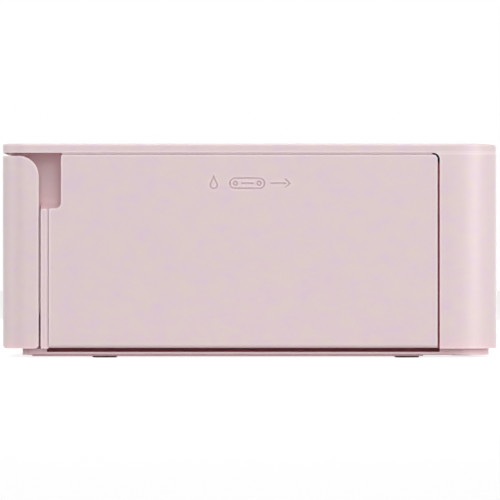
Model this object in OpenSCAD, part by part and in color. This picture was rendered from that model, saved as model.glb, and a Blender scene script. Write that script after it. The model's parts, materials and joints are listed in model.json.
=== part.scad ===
// Compact dye-sublimation photo printer. Millimetres, +Z up, front is -Y, ink door side is +X.
// Origin: centre of the footprint, on the surface that the printer stands on.

/* [Body] */
// Overall width, side to side
body_w = 182.2; // [178:0.2:190]
// Overall depth, front cover to rear wall
body_d = 133; // [132:0.2:138]
// Overall height, feet included
body_h = 57.6; // [57.2:0.2:60]
// Plan radius of the two rear corners
rear_corner_r = 13.3; // [10:0.1:15]
// Plan radius of the two front corners
front_corner_r = 6.5; // [5:0.1:8]
// Wall thickness of the housing
wall = 2; // [1.8:0.1:2.2]
// Gap between neighbouring outer panels
panel_gap = 0.5; // [0.45:0.05:0.6]
// Running clearance between parts that move past each other
run_gap = 0.3; // [0.3:0.05:0.4]

/* [Top cover] */
// Thickness of the top slab
slab_t = 2.5; // [2.4:0.1:2.8]
// Rounding of the slab's upper edge
slab_edge_r = 0.6; // [0.4:0.1:0.8]
// Width of the screen window, along X
screen_w = 80; // [74:1:84]
// Depth of the screen window, along Y
screen_d = 62; // [56:1:66]
// Centre of the screen window, along X
screen_x = -26; // [-30:1:-24]
// Thickness of the screen window
screen_t = 1.1; // [0.9:0.1:1.2]
// Centre of the cursor keys, along X
pad_x = 55; // [54:1:58]
// Distance from the centre key to each cursor key
pad_pitch = 12; // [11.5:0.5:13]
// Radius of the centre key
ok_r = 5.5; // [5:0.1:6]
// Radius of the small keys
key_r = 4; // [3.6:0.1:4.2]
// Travel of a key
key_travel = 0.5; // [0.4:0.05:0.6]

/* [Front cover] */
// Wall thickness of the front cover
flap_wall = 2; // [1.8:0.1:2.2]
// Depth of the front cover's side returns
flap_side_d = 9.7; // [9:0.1:10]
// Radius of the return's upper corner, seen from the side
flap_corner_r = 5.4; // [4:0.1:6]
// Distance from the cover's front face to its hinge axis
flap_axis_in = 3.5; // [3.4:0.05:3.6]
// Radius of the cover's hinge pins
flap_pin_r = 0.95; // [0.8:0.05:1]

/* [Ink door] */
// Thickness of the ink door
door_t = 2.5; // [2.3:0.1:2.8]
// Width of the fixed post in front of the door
post_w = 1.6; // [1.5:0.1:2]
// Width of the fixed housing behind the door
rear_part_d = 15.5; // [15.4:0.1:17]
// Height of the bottom of the finger notch
notch_z = 40.2; // [38:0.2:42]
// Width of the finger notch
notch_w = 3.3; // [3:0.1:4]
// Inner corner radius of the finger notch
notch_r = 1.6; // [1:0.1:2]
// Height of the door's hinge axis
door_axis_z = 4.8; // [4.6:0.1:5]
// Radius of the door's hinge pins
door_pin_r = 0.9; // [0.8:0.05:1]
// Depth of the finger scoop below the side face
scoop_depth = 7; // [6:0.5:7.5]

/* [Base] */
// Height of the feet below the plinth
foot_h = 0.5; // [0.5:0.1:0.8]
// Radius of a foot
foot_r = 3.3; // [3:0.1:3.6]
// Distance between the front and rear feet
foot_pitch_y = 81.5; // [76:0.5:84]
// Distance between the left and right feet
foot_pitch_x = 150; // [140:1:156]
// How far the plinth lies inside the side faces
plinth_inset = 2.5; // [2.4:0.1:3]

/* [Print engine] */
// Height of the paper path
path_z = 24; // [23.8:0.1:24.4]
// Length of the rollers, a little over the paper's width
roller_len = 104; // [102:1:106]
// Radius of the platen roller
platen_r = 6; // [5.6:0.1:6.2]
// Radius of the capstan roller
capstan_r = 3.5; // [3.2:0.1:3.7]
// Radius of the pinch roller
pinch_r = 2; // [1.8:0.1:2]
// Radius of the pickup roller's tyres
pickup_r = 6; // [5.5:0.1:6]
// Radius of the roller shafts
shaft_r = 2; // [1.6:0.1:2]
// Outer radius of the ink cassette's spool tubes
spool_tube_r = 11; // [10.6:0.1:11]
// Radial clearance of a shaft in its bush
bush_gap = 0.05; // [0.02:0.01:0.08]
// Gear module
gear_m = 0.5; // [0.5:0.01:0.51]

/* [Hidden] */
$fn = 64;
slip = 0.05;            // Clearance of a part that is pushed over or into another of its own body
seat = 0.1;             // Clearance at a seat between two parts that stay together
half_w = body_w / 2;
front_y = -body_d / 2;
rear_y = body_d / 2;
slab_z = body_h - slab_t;
sheet_t = 1.2;          // Sheet steel of the engine's side frames
board_t = 1.2;          // Printed circuit boards

// Base and plinth
plinth_x = half_w - plinth_inset;
plinth_front = front_y + 5.3;
plinth_rear = rear_y - 2.1;
base_top = 2.5;
rim_h = 2.5;            // Height of the base's locating rim
plinth_low_z = 1.6;     // Plinth height under the ink door, where the door's lower edge swings
plinth_chamfer = 1.1;
plinth_corner_r = 2.5;

// Front cover
flap_bottom = base_top;
flap_top = slab_z - 0.8;
flap_back = front_y + flap_side_d;
flap_axis_y = front_y + flap_axis_in;
flap_axis_z = base_top + 1.5;
flap_bore_r = flap_pin_r + bush_gap;
flap_ear_r = 1.4;
flap_ear_t = 2.5;
flap_ear_x = half_w - front_corner_r - 5;
lug_t = 3;
lug_r = 1.3;
lug_x = [flap_ear_x - run_gap - lug_t, flap_ear_x - run_gap];

// Housing
post_front = flap_back + 0.6;
post_back = post_front + post_w;
nose_front = front_y + 6;
nose_x = half_w - flap_wall - 2.1;
panel_t = 2;            // Thickness of the front panel behind the front cover
housing_z = base_top;
slot_half_w = roller_len / 2 + 4; // Half the width of the paper cassette's slot
slot_low_z = 5.5;
slot_high_z = 30;
rear_slot_half_w = roller_len / 2;
rear_slot_h = 7;

// Ink door
door_front = post_back + panel_gap;
door_back = rear_y - rear_part_d - 0.6;
door_rear_gap_end = rear_y - rear_part_d;
door_bottom = base_top + 0.2;
door_top = slab_z - panel_gap;
door_in_x = half_w - door_t;
door_edge_r = 0.9;
door_corner_r = 1.2;    // Rounding of the door's upper rear corner
jamb_corner_r = door_corner_r + panel_gap + 0.1;
door_bore_r = door_pin_r + bush_gap;
knuckle_r = 1.9;
knuckle_len = 8;
bay_x = door_in_x - 4.9; // Outer face of the ink bay frame
bay_t = 2;
scoop_top_x = half_w - scoop_depth;
scoop_low_z = notch_z - 0.7;
scoop_low_x = door_in_x - run_gap;
scoop_h = door_top - scoop_low_z;
scoop_in = scoop_low_x - scoop_top_x;
scoop_r = (scoop_in * scoop_in + scoop_h * scoop_h) / (2 * scoop_in);
scoop_behind = 4;       // How far the scoop runs on behind the door's edge

// Print engine, as [y, z] of each axis
frame_x = roller_len / 2 + 6;                     // Inner face of the side frames
engine_y = rear_y - 66.5;  // Datum of the engine, which stays with the rear wall
paper_gap = 0.15;
platen = [engine_y + 18, path_z - platen_r];
capstan = [platen[0] + 10, path_z - capstan_r - paper_gap];
pinch = [capstan[0], path_z + pinch_r + paper_gap];
pickup = [engine_y - 18, path_z + 4];
head_pivot = [engine_y + 54, 46];
head_y = platen[0];

// Gears: tooth counts, pitch radii and axes. Every wheel meshes where the radii add up.
capstan_teeth = 36;
takeup_teeth = 42;
reduction_small_teeth = 14;
reduction_large_teeth = 48;
pinion_teeth = 12;
idler_teeth = 40;
pickup_teeth = 48;
mesh_slack = 0.08;      // Added to each centre distance, so that the teeth run free
function pitch_r(teeth) = gear_m * teeth / 2;
function mesh_d(a, b) = pitch_r(a) + pitch_r(b) + mesh_slack;
function polar(r, a) = [r * cos(a), r * sin(a)];
function heading(from, to) = atan2(to[1] - from[1], to[0] - from[0]);
// The point at distance ra from a and rb from b, on the side given by +1 or -1
function two_circles(a, ra, b, rb, side) =
    let (d = norm(b - a), u = (ra * ra - rb * rb + d * d) / (2 * d), v = sqrt(ra * ra - u * u))
    a + polar(u, heading(a, b)) + side * polar(v, heading(a, b) + 90);
takeup_y = capstan[0] + 10;
takeup_d = mesh_d(capstan_teeth, takeup_teeth);
takeup = [takeup_y, capstan[1] + sqrt(takeup_d * takeup_d - pow(takeup_y - capstan[0], 2))];
supply = [takeup_y - 40, takeup[1]];
reduction = [capstan[0] - mesh_d(capstan_teeth, reduction_small_teeth), capstan[1]];
pinion = reduction + polar(mesh_d(reduction_large_teeth, pinion_teeth), 200);
idler = two_circles(reduction, mesh_d(reduction_small_teeth, idler_teeth),
                    pickup, mesh_d(idler_teeth, pickup_teeth), 1);
// Phase of a wheel's first tooth, so that it meshes with a neighbour whose phase is known
function mesh_phase(from, from_teeth, from_phase, to, to_teeth) =
    let (a = heading(from, to), pitch = 360 / from_teeth, f = (a - from_phase) / pitch)
    a + 180 + f * 360 / to_teeth + 180 / to_teeth;
capstan_phase = 0;
reduction_small_phase = mesh_phase(capstan, capstan_teeth, capstan_phase, reduction, reduction_small_teeth);
reduction_large_phase = reduction_small_phase;
pinion_phase = mesh_phase(reduction, reduction_large_teeth, reduction_large_phase, pinion, pinion_teeth);
idler_phase = mesh_phase(reduction, reduction_small_teeth, reduction_small_phase, idler, idler_teeth);
pickup_phase = mesh_phase(idler, idler_teeth, idler_phase, pickup, pickup_teeth);
takeup_phase = mesh_phase(capstan, capstan_teeth, capstan_phase, takeup, takeup_teeth);
gear_t = 3.5;
gear1 = [-frame_x - sheet_t - 1.3 - gear_t, -frame_x - sheet_t - 1.3];   // Gears next to the frame
gear2 = [gear1[0] - 1 - gear_t, gear1[0] - 1];                          // Gears of the first reduction
plate_t = 1;
gear_plate_x = gear2[0] - 0.7 - plate_t;
motor_len = min(14, half_w + gear_plate_x - wall - 1.5);
motor_r = 11;

// Bushes
bush_r = shaft_r + 1;
bush_flange_r = bush_r + 0.5;
pinch_bush_r = 2;
bush_flange_t = 1;

// Ink cassette
tube_wall = 1.2;
cassette_left = -frame_x + 4;
cassette_right = frame_x + 10;
cassette_end_t = 1.5;
cassette_gap = 0.4;
core_r = 4;
supply_roll_r = 8.4;
takeup_roll_r = 5.5;
roll_half = 50;
spool_left = cassette_left + cassette_end_t + run_gap;
spool_pin_r = 1.9;
dog_r = 3;
ribbon_t = 0.2;

// Top: screen, keys and boards
window_top = body_h - 0.1;
lcd_top = window_top - screen_t - 0.1;
lcd_bottom = slab_z - 1.7;
bezel_lip = 1.5;        // Ledge in the slab that carries the window's rim
lip_low_z = flap_top - 0.5; // Lower edge of the lip behind the front cover's upper edge
lip_gap = 0.25;         // Clearance between that lip and the front cover's wall
control_top = slab_z - 2;
control_bottom = control_top - board_t;
control_x = [15.1 - half_w, bay_x - bay_t - 0.8];
control_half_d = rear_y - 22.5;
switch_h = 0.5;
key_bottom = control_top + switch_h + key_travel + 0.05;
key_flange_t = 0.5;
key_gap = 0.25;
pad_y = 0;
print_pos = [pad_x + 12, -30];
print_half = 5;         // Half the straight length of the long print key
power_pos = [pad_x + 16, 33];
back_pos = [pad_x - 13, -30];
menu_pos = [pad_x - 13, 27];

// Where the boards, ports and screws lie
board_x = 55;
main_board_z = 5.5;
main_board_y = [engine_y + 8, engine_y + 58];
jack_x = -43.5;
jack_z = 12;
usb_c_x = -24;
usb_c_z = [main_board_z + board_t, main_board_z + board_t + 3.4];
port_board_z = 8.4;
port_board_x = 1.5 + wall - half_w;     // Outer edge of the port board
port_board_w = 12.1;
port_post_x = port_board_x + 8.6;
usb_a_y = rear_y - 29.5;
card_board_z = 28.4;
card_board_x = 0.5 + wall - half_w;
card_board_w = 17.1;
card_y = rear_y - 28.5;
screw_r = 1.2;
screw_head_r = 2.6;
screw_head_t = 1.2;
case_screw_pos = [[11.1 - half_w, front_y + 16.5], [19.1 - half_w, rear_y - 8],
                  [half_w - 15.1, rear_y - 9.5], [half_w - 12.1, front_y + 11.5]];
// Point on the housing's wall that the web of each screw boss runs to
case_web_end = [[1 - half_w, case_screw_pos[0][1]], [case_screw_pos[1][0], rear_y - 1],
                [half_w - 2.4, case_screw_pos[2][1]], [case_screw_pos[3][0], nose_front + 1]];
case_boss_r = 2.8;
case_screw_top = 11;
flange_w = 8;
frame_y = [engine_y - 30, engine_y + 62];
frame_top = 50.5;
frame_step = [12, 41];  // Step at the frame's upper front corner: its depth and its height above z = 0
frame_screw_y = [engine_y - 24, engine_y + 52];
frame_screw_x = frame_x + sheet_t + 4.5;

pink = [0.86, 0.785, 0.8];
dark_plastic = [0.18, 0.18, 0.19];
steel = [0.72, 0.73, 0.75];
rubber = [0.16, 0.16, 0.16];
white_plastic = [0.88, 0.88, 0.86];
board_green = [0.1, 0.32, 0.2];

// ---------- Helpers ----------

// Box from two ranges per axis
module box(x, y, z) {
    translate([x[0], y[0], z[0]]) cube([x[1] - x[0], y[1] - y[0], z[1] - z[0]]);
}

// Prism along X from a profile drawn in [y, z]
module along_x(x) {
    translate([x[0], 0, 0]) rotate([90, 0, 90]) linear_extrude(x[1] - x[0]) children();
}

// Prism along Y from a profile drawn in [x, z]
module along_y(y) {
    translate([0, y[1], 0]) rotate([90, 0, 0]) linear_extrude(y[1] - y[0]) children();
}

module rod_x(at, r, x) {
    translate([x[0], at[0], at[1]]) rotate([0, 90, 0]) cylinder(r = r, h = x[1] - x[0]);
}

module rod_y(at, r, y) {
    translate([at[0], y[0], at[1]]) rotate([-90, 0, 0]) cylinder(r = r, h = y[1] - y[0]);
}

module rod_z(at, r, z) {
    translate([at[0], at[1], z[0]]) cylinder(r = r, h = z[1] - z[0]);
}

// Rounded rectangle in the drawing plane
module round_rect(x, y, r) {
    translate([x[0] + r, y[0]]) square([x[1] - x[0] - 2 * r, y[1] - y[0]]);
    translate([x[0], y[0] + r]) square([x[1] - x[0], y[1] - y[0] - 2 * r]);
    for (cx = [x[0] + r, x[1] - r], cy = [y[0] + r, y[1] - r]) translate([cx, cy]) circle(r);
}

// Slot with round ends between two points
module slot_2d(a, b, r) {
    for (c = [a, b]) translate(c) circle(r);
    across = [b[1] - a[1], a[0] - b[0]] / norm(b - a) * r;
    polygon([a + across, b + across, b - across, a - across]);
}

// Plan with one radius at the front corners and another at the rear
module round_plan(w, yf, yr, rf, rr) {
    polygon([[-w, yf + rf], [-w + rf, yf], [w - rf, yf], [w, yf + rf],
             [w, yr - rr], [w - rr, yr], [-w + rr, yr], [-w, yr - rr]]);
    for (s = [-1, 1]) {
        translate([s * (w - rf), yf + rf]) circle(rf);
        translate([s * (w - rr), yr - rr]) circle(rr);
    }
}

// Plan of the whole body, drawn in by an inset
module plan_outline(inset = 0) {
    round_plan(half_w - inset, front_y + inset, rear_y - inset,
               front_corner_r - inset, rear_corner_r - inset);
}

// Section of a slab from its middle to its edge, with the upper edge rounded by e
module edge_section(len, t, e) {
    square([len - e, t]);
    square([len, t - e]);
    translate([len - e, t - e]) circle(e);
}

// Slab with the body's plan and a rounded upper edge, its underside at z = 0
module rounded_slab(t, e) {
    yf = front_y + front_corner_r;
    yr = rear_y - rear_corner_r;
    for (s = [-1, 1]) scale([s, 1, 1]) {
        along_y([yf, yr]) edge_section(half_w, t, e);
        translate([half_w - front_corner_r, yf, 0]) rotate(-90)
            rotate_extrude(angle = 90) edge_section(front_corner_r, t, e);
        translate([half_w - rear_corner_r, yr, 0])
            rotate_extrude(angle = 90) edge_section(rear_corner_r, t, e);
        translate([0, yf, 0]) scale([1, -1, 1]) along_x([0, half_w - front_corner_r])
            edge_section(front_corner_r, t, e);
        translate([0, yr, 0]) along_x([0, half_w - rear_corner_r])
            edge_section(rear_corner_r, t, e);
    }
}

// Straight-sided tooth form: a trapezium per tooth, thinned a little for running clearance
function tooth(teeth, k, phase) =
    let (r = pitch_r(teeth), step = 360 / teeth, a = phase + k * step,
         root = r - 1.2 * gear_m, tip = r + 0.95 * gear_m)
    [polar(root, a - 0.33 * step), polar(r, a - 0.225 * step), polar(tip, a - 0.1 * step),
     polar(tip, a + 0.1 * step), polar(r, a + 0.225 * step), polar(root, a + 0.33 * step)];

module gear_2d(teeth, phase) {
    polygon([for (k = [0 : teeth - 1]) each tooth(teeth, k, phase)]);
}

// Spur gear on an X axis, with a hub, a recessed web and a bore
module spur_gear(at, teeth, phase, x, bore_r) {
    web_r = pitch_r(teeth) - 2.4 * gear_m;
    difference() {
        translate([0, at[0], at[1]]) along_x(x) gear_2d(teeth, phase);
        rod_x(at, bore_r, [x[0] - 1, x[1] + 1]);
        if (web_r > bore_r + 3) difference() {
            rod_x(at, web_r, [x[0] - 1, x[0] + 1]);
            rod_x(at, bore_r + 1.5, [x[0] - 2, x[0] + 2]);
        }
    }
}

// ---------- Base ----------

module plinth_outline() {
    round_plan(plinth_x, plinth_front, plinth_rear, plinth_corner_r, rear_corner_r - plinth_inset);
}

module screw_boss(at, r, hole_r, z) {
    difference() {
        rod_z(at, r, z);
        rod_z(at, hole_r, [z[0] - 1, z[1] + 1]);
    }
}

module base_tray() color(pink) {
    rim = wall + slip + 0.2;
    difference() {
        union() {
            translate([0, 0, foot_h]) linear_extrude(base_top - foot_h) plinth_outline();
            // Locating rim inside the housing, open at the front and beside the ink bay
            translate([0, 0, base_top]) linear_extrude(rim_h) difference() {
                intersection() {
                    plan_outline(rim);
                    translate([-half_w, post_back + 8])
                        square([bay_x - bay_t - 2 + half_w, body_d]);
                }
                plan_outline(rim + 1.2);
            }
            for (at = case_screw_pos) rod_z(at, 4, [base_top - 1, base_top]);
            for (s = [-1, 1], y = frame_screw_y) rod_z([s * frame_screw_x, y], 3, [foot_h, base_top]);
            // Lugs of the front cover's hinge
            for (s = [-1, 1]) scale([s, 1, 1]) {
                rod_x([flap_axis_y, flap_axis_z], lug_r, lug_x);
                box(lug_x, [flap_axis_y, plinth_front + 2], [flap_axis_z - lug_r, flap_axis_z + lug_r]);
                box(lug_x, [plinth_front, plinth_front + 2], [base_top - 0.5, flap_axis_z]);
            }
            // Posts of the main board, the port board and the card slot
            for (x = [-board_x + 5, board_x - 5], y = [main_board_y[0] + 4, main_board_y[1] - 4])
                rod_z([x, y], 2.5, [base_top - 1, main_board_z]);
            for (y = [usb_a_y - 14, usb_a_y + 14]) rod_z([port_post_x, y], 2.5, [base_top - 1, port_board_z]);
        }
        // Room for the ink door's lower edge
        box([bay_x + 1, half_w], [post_back, door_rear_gap_end], [plinth_low_z, base_top + 1]);
        // Chamfered lower edges
        for (s = [-1, 1]) scale([s, 1, 1]) along_y([front_y, rear_y])
            polygon([[plinth_x - plinth_chamfer / 2, foot_h - 0.01], [plinth_x + 1, foot_h - 0.01],
                     [plinth_x + 1, foot_h + plinth_chamfer / 2 + 1]]);
        // The plinth's front and rear ends lie a little higher
        for (y = [[front_y, plinth_front + 2.6], [foot_y(1) + foot_r + 1, rear_y]])
            box([-half_w, half_w], y, [0, foot_h + 0.3]);
        for (s = [-1, 1]) scale([s, 1, 1])
            rod_x([flap_axis_y, flap_axis_z], flap_pin_r + slip, [lug_x[0] + 0.5, lug_x[1] + 1]);
        for (at = case_screw_pos) {
            rod_z(at, screw_r + 0.3, [0, base_top + 1]);
            rod_z(at, screw_head_r + 0.3, [0, foot_h + screw_head_t]);
        }
        for (s = [-1, 1], y = frame_screw_y)
            rod_z([s * frame_screw_x, y], screw_r + slip, [foot_h + 0.6, base_top + 1]);
        for (sx = [-1, 1], sy = [-1, 1])
            rod_z([sx * foot_pitch_x / 2, foot_y(sy)], foot_r + seat, [0, foot_h + 0.5]);
        // Air slots under the main board
        for (k = [0 : 7])
            box([-28 + 8 * k, -24 + 8 * k], [main_board_y[0] + 12, main_board_y[1] - 12], [0, base_top + 1]);
    }
}

function foot_y(s) = 1.55 + s * foot_pitch_y / 2;

module rubber_feet() color(rubber)
    for (sx = [-1, 1], sy = [-1, 1])
        rod_z([sx * foot_pitch_x / 2, foot_y(sy)], foot_r, [0, foot_h + 0.5]);

// ---------- Housing ----------

module housing_plan(inset) {
    intersection() {
        plan_outline(inset);
        translate([-half_w, post_front + (inset > 0 ? post_w : 0)]) square([body_w, body_d]);
    }
    translate([inset - nose_x, nose_front + (inset > 0 ? panel_t : 0)])
        square([2 * (nose_x - inset), 2 * wall + post_back - nose_front]);
}

// Finger scoop: a concave hollow that starts on top of the post and runs on behind the door
module scoop_section() {
    translate([scoop_top_x + scoop_r, door_top]) circle(scoop_r, $fn = 128);
}

module scoop_void() {
    along_y([nose_front - 1, post_back + 0.1]) intersection() {
        scoop_section();
        translate([0, notch_z - 0.1]) square(body_w);
    }
    along_y([post_back, door_front + notch_w + scoop_behind]) scoop_section();
}

module vents(x0, count, y, z) {
    for (k = [0 : count - 1]) along_y(y) slot_2d([x0 + 4 * k, z[0]], [x0 + 4 * k, z[1]], 0.9);
}

module main_housing() color(pink) {
    boss_z = [housing_z + slip, case_screw_top + 1];
    scoop_block_y = [post_front, door_front + notch_w + scoop_behind + wall];
    difference() {
        union() {
            difference() {
                translate([0, 0, housing_z]) linear_extrude(slab_z - housing_z) difference() {
                    housing_plan(0);
                    housing_plan(wall);
                }
                // Opening behind the ink door
                box([bay_x - 8, half_w + 1], [post_back, door_rear_gap_end], [0, body_h]);
                // Post in front of the door ends at the scoop
                box([bay_x - 1, half_w + 1], [post_front - 1, post_back + 1], [notch_z - 0.1, body_h]);
            }
            // Rounded upper corner of that opening, beside the door's own
            along_x([half_w - wall, half_w]) difference() {
                translate([door_rear_gap_end - jamb_corner_r, slab_z - jamb_corner_r])
                    square([jamb_corner_r + 0.5, jamb_corner_r]);
                translate([door_rear_gap_end - jamb_corner_r, slab_z - jamb_corner_r])
                    circle(jamb_corner_r);
            }
            box([scoop_top_x - 2, nose_x], [nose_front, scoop_block_y[1]], [scoop_low_z - 4, slab_z]);
            box([nose_x - 1, scoop_low_x], scoop_block_y, [scoop_low_z - 4, slab_z]);
            // Inner jamb that closes the rear part beside the bay
            box([bay_x - bay_t - 2, half_w - 0.01], [door_rear_gap_end, door_rear_gap_end + wall],
                [housing_z, slab_z]);
            for (at = case_screw_pos) rod_z(at, case_boss_r, boss_z);
            // Webs from the bosses to the nearest wall, above the base's rim
            for (k = [0 : 3]) translate([0, 0, base_top + rim_h + 0.1])
                linear_extrude(case_screw_top + 1 - base_top - rim_h - 0.1)
                    slot_2d(case_screw_pos[k], case_web_end[k], 0.75);
        }
        scoop_void();
        // Room for the lugs of the front cover's hinge
        for (s = [-1, 1]) scale([s, 1, 1])
            box([lug_x[0] - run_gap, lug_x[1] + run_gap], [nose_front - 1, plinth_front + 2 + run_gap],
                [0, flap_axis_z + lug_r + run_gap]);
        for (at = case_screw_pos) rod_z(at, screw_r + slip, [0, case_screw_top]);
        // Pins of the ink door run in the post and in the jamb
        rod_y([door_in_x, door_axis_z], door_bore_r, [post_front + 0.3, post_back + 1]);
        rod_y([door_in_x, door_axis_z], door_bore_r, [door_back, door_rear_gap_end + wall + 3]);
        // Paper slots at the front and the rear
        along_y([nose_front - 1, nose_front + 5])
            round_rect([-slot_half_w, slot_half_w], [slot_low_z, slot_high_z], 1.5);
        along_y([rear_y - wall - 2, rear_y + 1])
            round_rect([-rear_slot_half_w, rear_slot_half_w],
                       [path_z - rear_slot_h / 2, path_z + rear_slot_h / 2], 1);
        // Air slots above the rear paper slot
        vents(20, 12, [rear_y - wall - 2, rear_y + 1], [33, 46]);
        // Sockets at the rear
        rod_y([jack_x, jack_z], 4, [rear_y - wall - 2, rear_y + 1]);
        along_y([rear_y - wall - 2, rear_y + 1])
            round_rect([usb_c_x - 4.8, usb_c_x + 4.8], [usb_c_z[0] - 0.3, usb_c_z[1] + 0.3], 1.8);
        // Sockets on the left side
        along_x([-half_w - 1, wall + 2 - half_w])
            round_rect([usb_a_y - 6.9, usb_a_y + 6.9],
                       [port_board_z + board_t - 0.1, port_board_z + board_t + 6], 0.5);
        along_x([-half_w - 1, wall + 2 - half_w])
            round_rect([card_y - 13, card_y + 13],
                       [card_board_z + board_t, card_board_z + board_t + 3.4], 0.6);
    }
    // Posts of the card slot's board, on the left wall
    for (y = [card_y - 12, card_y + 12])
        box([0.5 - half_w, 7 - half_w], [y - 1, y + 1], [card_board_z - 3, card_board_z]);
}

// ---------- Top ----------

module key_hole(at, r, z) { rod_z(at, r + key_gap, z); }

module print_plan(grow = 0) {
    slot_2d(print_pos - [print_half, 0], print_pos + [print_half, 0], key_r + grow);
}

// Plan of one cursor key: a slice of a ring round the centre key
module cursor_plan(angle, grow = 0) {
    inner = ok_r + 2 - grow;
    outer = pad_pitch + key_r + grow;
    translate([pad_x, pad_y]) rotate(angle) intersection() {
        difference() {
            circle(outer);
            circle(inner);
        }
        polygon([[0, 0], [2 * outer, -1.55 * outer], [2 * outer, 1.55 * outer]]);
    }
}

module top_cover() color(pink) {
    screen = [screen_x - screen_w / 2, screen_x + screen_w / 2];
    through = [slab_z - 5, body_h + 1];
    difference() {
        union() {
            translate([0, 0, slab_z]) rounded_slab(slab_t, slab_edge_r);
            // Locating rim behind the housing's walls, clear of the finger scoop and the door
            translate([0, 0, slab_z - 2]) linear_extrude(2 + slab_t / 2) difference() {
                intersection() {
                    plan_outline(wall + 0.2);
                    translate([-half_w, post_back + 3])
                        square([bay_x - bay_t - 3 + half_w, body_d]);
                }
                plan_outline(wall + 1.4);
            }
            // Lip that closes the gap behind the front cover's upper edge
            translate([0, 0, lip_low_z]) linear_extrude(slab_z + slab_t / 2 - lip_low_z) intersection() {
                plan_outline(flap_wall + lip_gap);
                translate([-half_w, front_y]) square([body_w, nose_front - seat - front_y]);
            }
            // Bosses that hold the control board
            for (at = control_screws) rod_z(at, 2.2, [control_top, slab_z + 0.5]);
        }
        // Screen: window recess, ledge and module opening
        translate([0, 0, window_top - screen_t]) linear_extrude(slab_t)
            round_rect([screen[0] - seat, screen[1] + seat],
                       [-screen_d / 2 - seat, screen_d / 2 + seat], 3);
        translate([0, 0, through[0]]) linear_extrude(10)
            round_rect([screen[0] + bezel_lip, screen[1] - bezel_lip],
                       [bezel_lip - screen_d / 2, screen_d / 2 - bezel_lip], 2);
        // Keys
        key_hole([pad_x, pad_y], ok_r, through);
        for (at = [power_pos, back_pos, menu_pos]) key_hole(at, key_r, through);
        translate([0, 0, through[0]]) linear_extrude(10) print_plan(key_gap);
        for (a = [0, 90, 180, 270]) translate([0, 0, through[0]]) linear_extrude(10) cursor_plan(a, key_gap);
    }
}

control_screw_y = control_half_d - 4;
control_screws = [[control_x[0] + 4, -control_screw_y], [control_x[0] + 4, control_screw_y],
                  [24, -control_screw_y], [24, control_screw_y],
                  [control_x[1] - 3, -control_screw_y], [control_x[1] - 3, 18]];

module screen_window() color([0.03, 0.03, 0.035])
    translate([0, 0, window_top - screen_t]) linear_extrude(screen_t)
        round_rect([screen_x - screen_w / 2, screen_x + screen_w / 2], [-screen_d / 2, screen_d / 2], 3);

module lcd_module() color([0.25, 0.27, 0.3]) {
    inset = bezel_lip + seat;
    translate([0, 0, lcd_bottom]) linear_extrude(lcd_top - lcd_bottom)
        round_rect([screen_x - screen_w / 2 + inset, screen_x + screen_w / 2 - inset],
                   [inset - screen_d / 2, screen_d / 2 - inset], 2);
}

module control_board() color(board_green) {
    difference() {
        union() {
            translate([0, 0, control_bottom]) linear_extrude(board_t)
                round_rect(control_x, [-control_half_d, control_half_d], 1);
            // Dome switches under the keys
            for (at = concat([[pad_x, pad_y], print_pos, power_pos, back_pos, menu_pos],
                             [for (a = [0 : 90 : 270]) [pad_x, pad_y] + polar(pad_pitch, a)]))
                rod_z(at, 1.6, [control_top - 0.1, control_top + switch_h]);
            // Pads that carry the screen module
            for (s = [-1, 1]) box([screen_x - 30, screen_x + 30], [s * 20 - 2, s * 20 + 2],
                                  [control_top - 0.1, lcd_bottom]);
        }
        for (at = control_screws) rod_z(at, 1, [control_bottom - 1, control_top + 1]);
    }
}

// Key cap that fills its hole, with a hidden stem down to its switch
module key(at, r) color(pink) {
    rod_z(at, r, [slab_z - 0.4, window_top]);
    rod_z(at, 1.2, [key_bottom, slab_z]);
    rod_z(at, r + 0.7, [slab_z - 0.4 - key_flange_t, slab_z - 0.3]);
}

module power_button() { key(power_pos, key_r); }
module back_button() { key(back_pos, key_r); }
module menu_button() { key(menu_pos, key_r); }
module ok_button() { key([pad_x, pad_y], ok_r); }

module print_button() color(pink) {
    translate([0, 0, slab_z - 0.4]) linear_extrude(window_top - slab_z + 0.4) print_plan();
    translate([0, 0, slab_z - 0.4 - key_flange_t]) linear_extrude(key_flange_t + 0.1) print_plan(0.7);
    rod_z(print_pos, 1.2, [key_bottom, slab_z]);
}

module cursor_key(angle) color(pink) {
    translate([0, 0, slab_z - 0.4]) linear_extrude(window_top - slab_z + 0.4) cursor_plan(angle);
    rod_z([pad_x, pad_y] + polar(pad_pitch, angle), 1.2, [key_bottom, slab_z]);
}

module right_key() { cursor_key(0); }
module up_key() { cursor_key(90); }
module left_key() { cursor_key(180); }
module down_key() { cursor_key(270); }

// ---------- Front cover ----------

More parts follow.
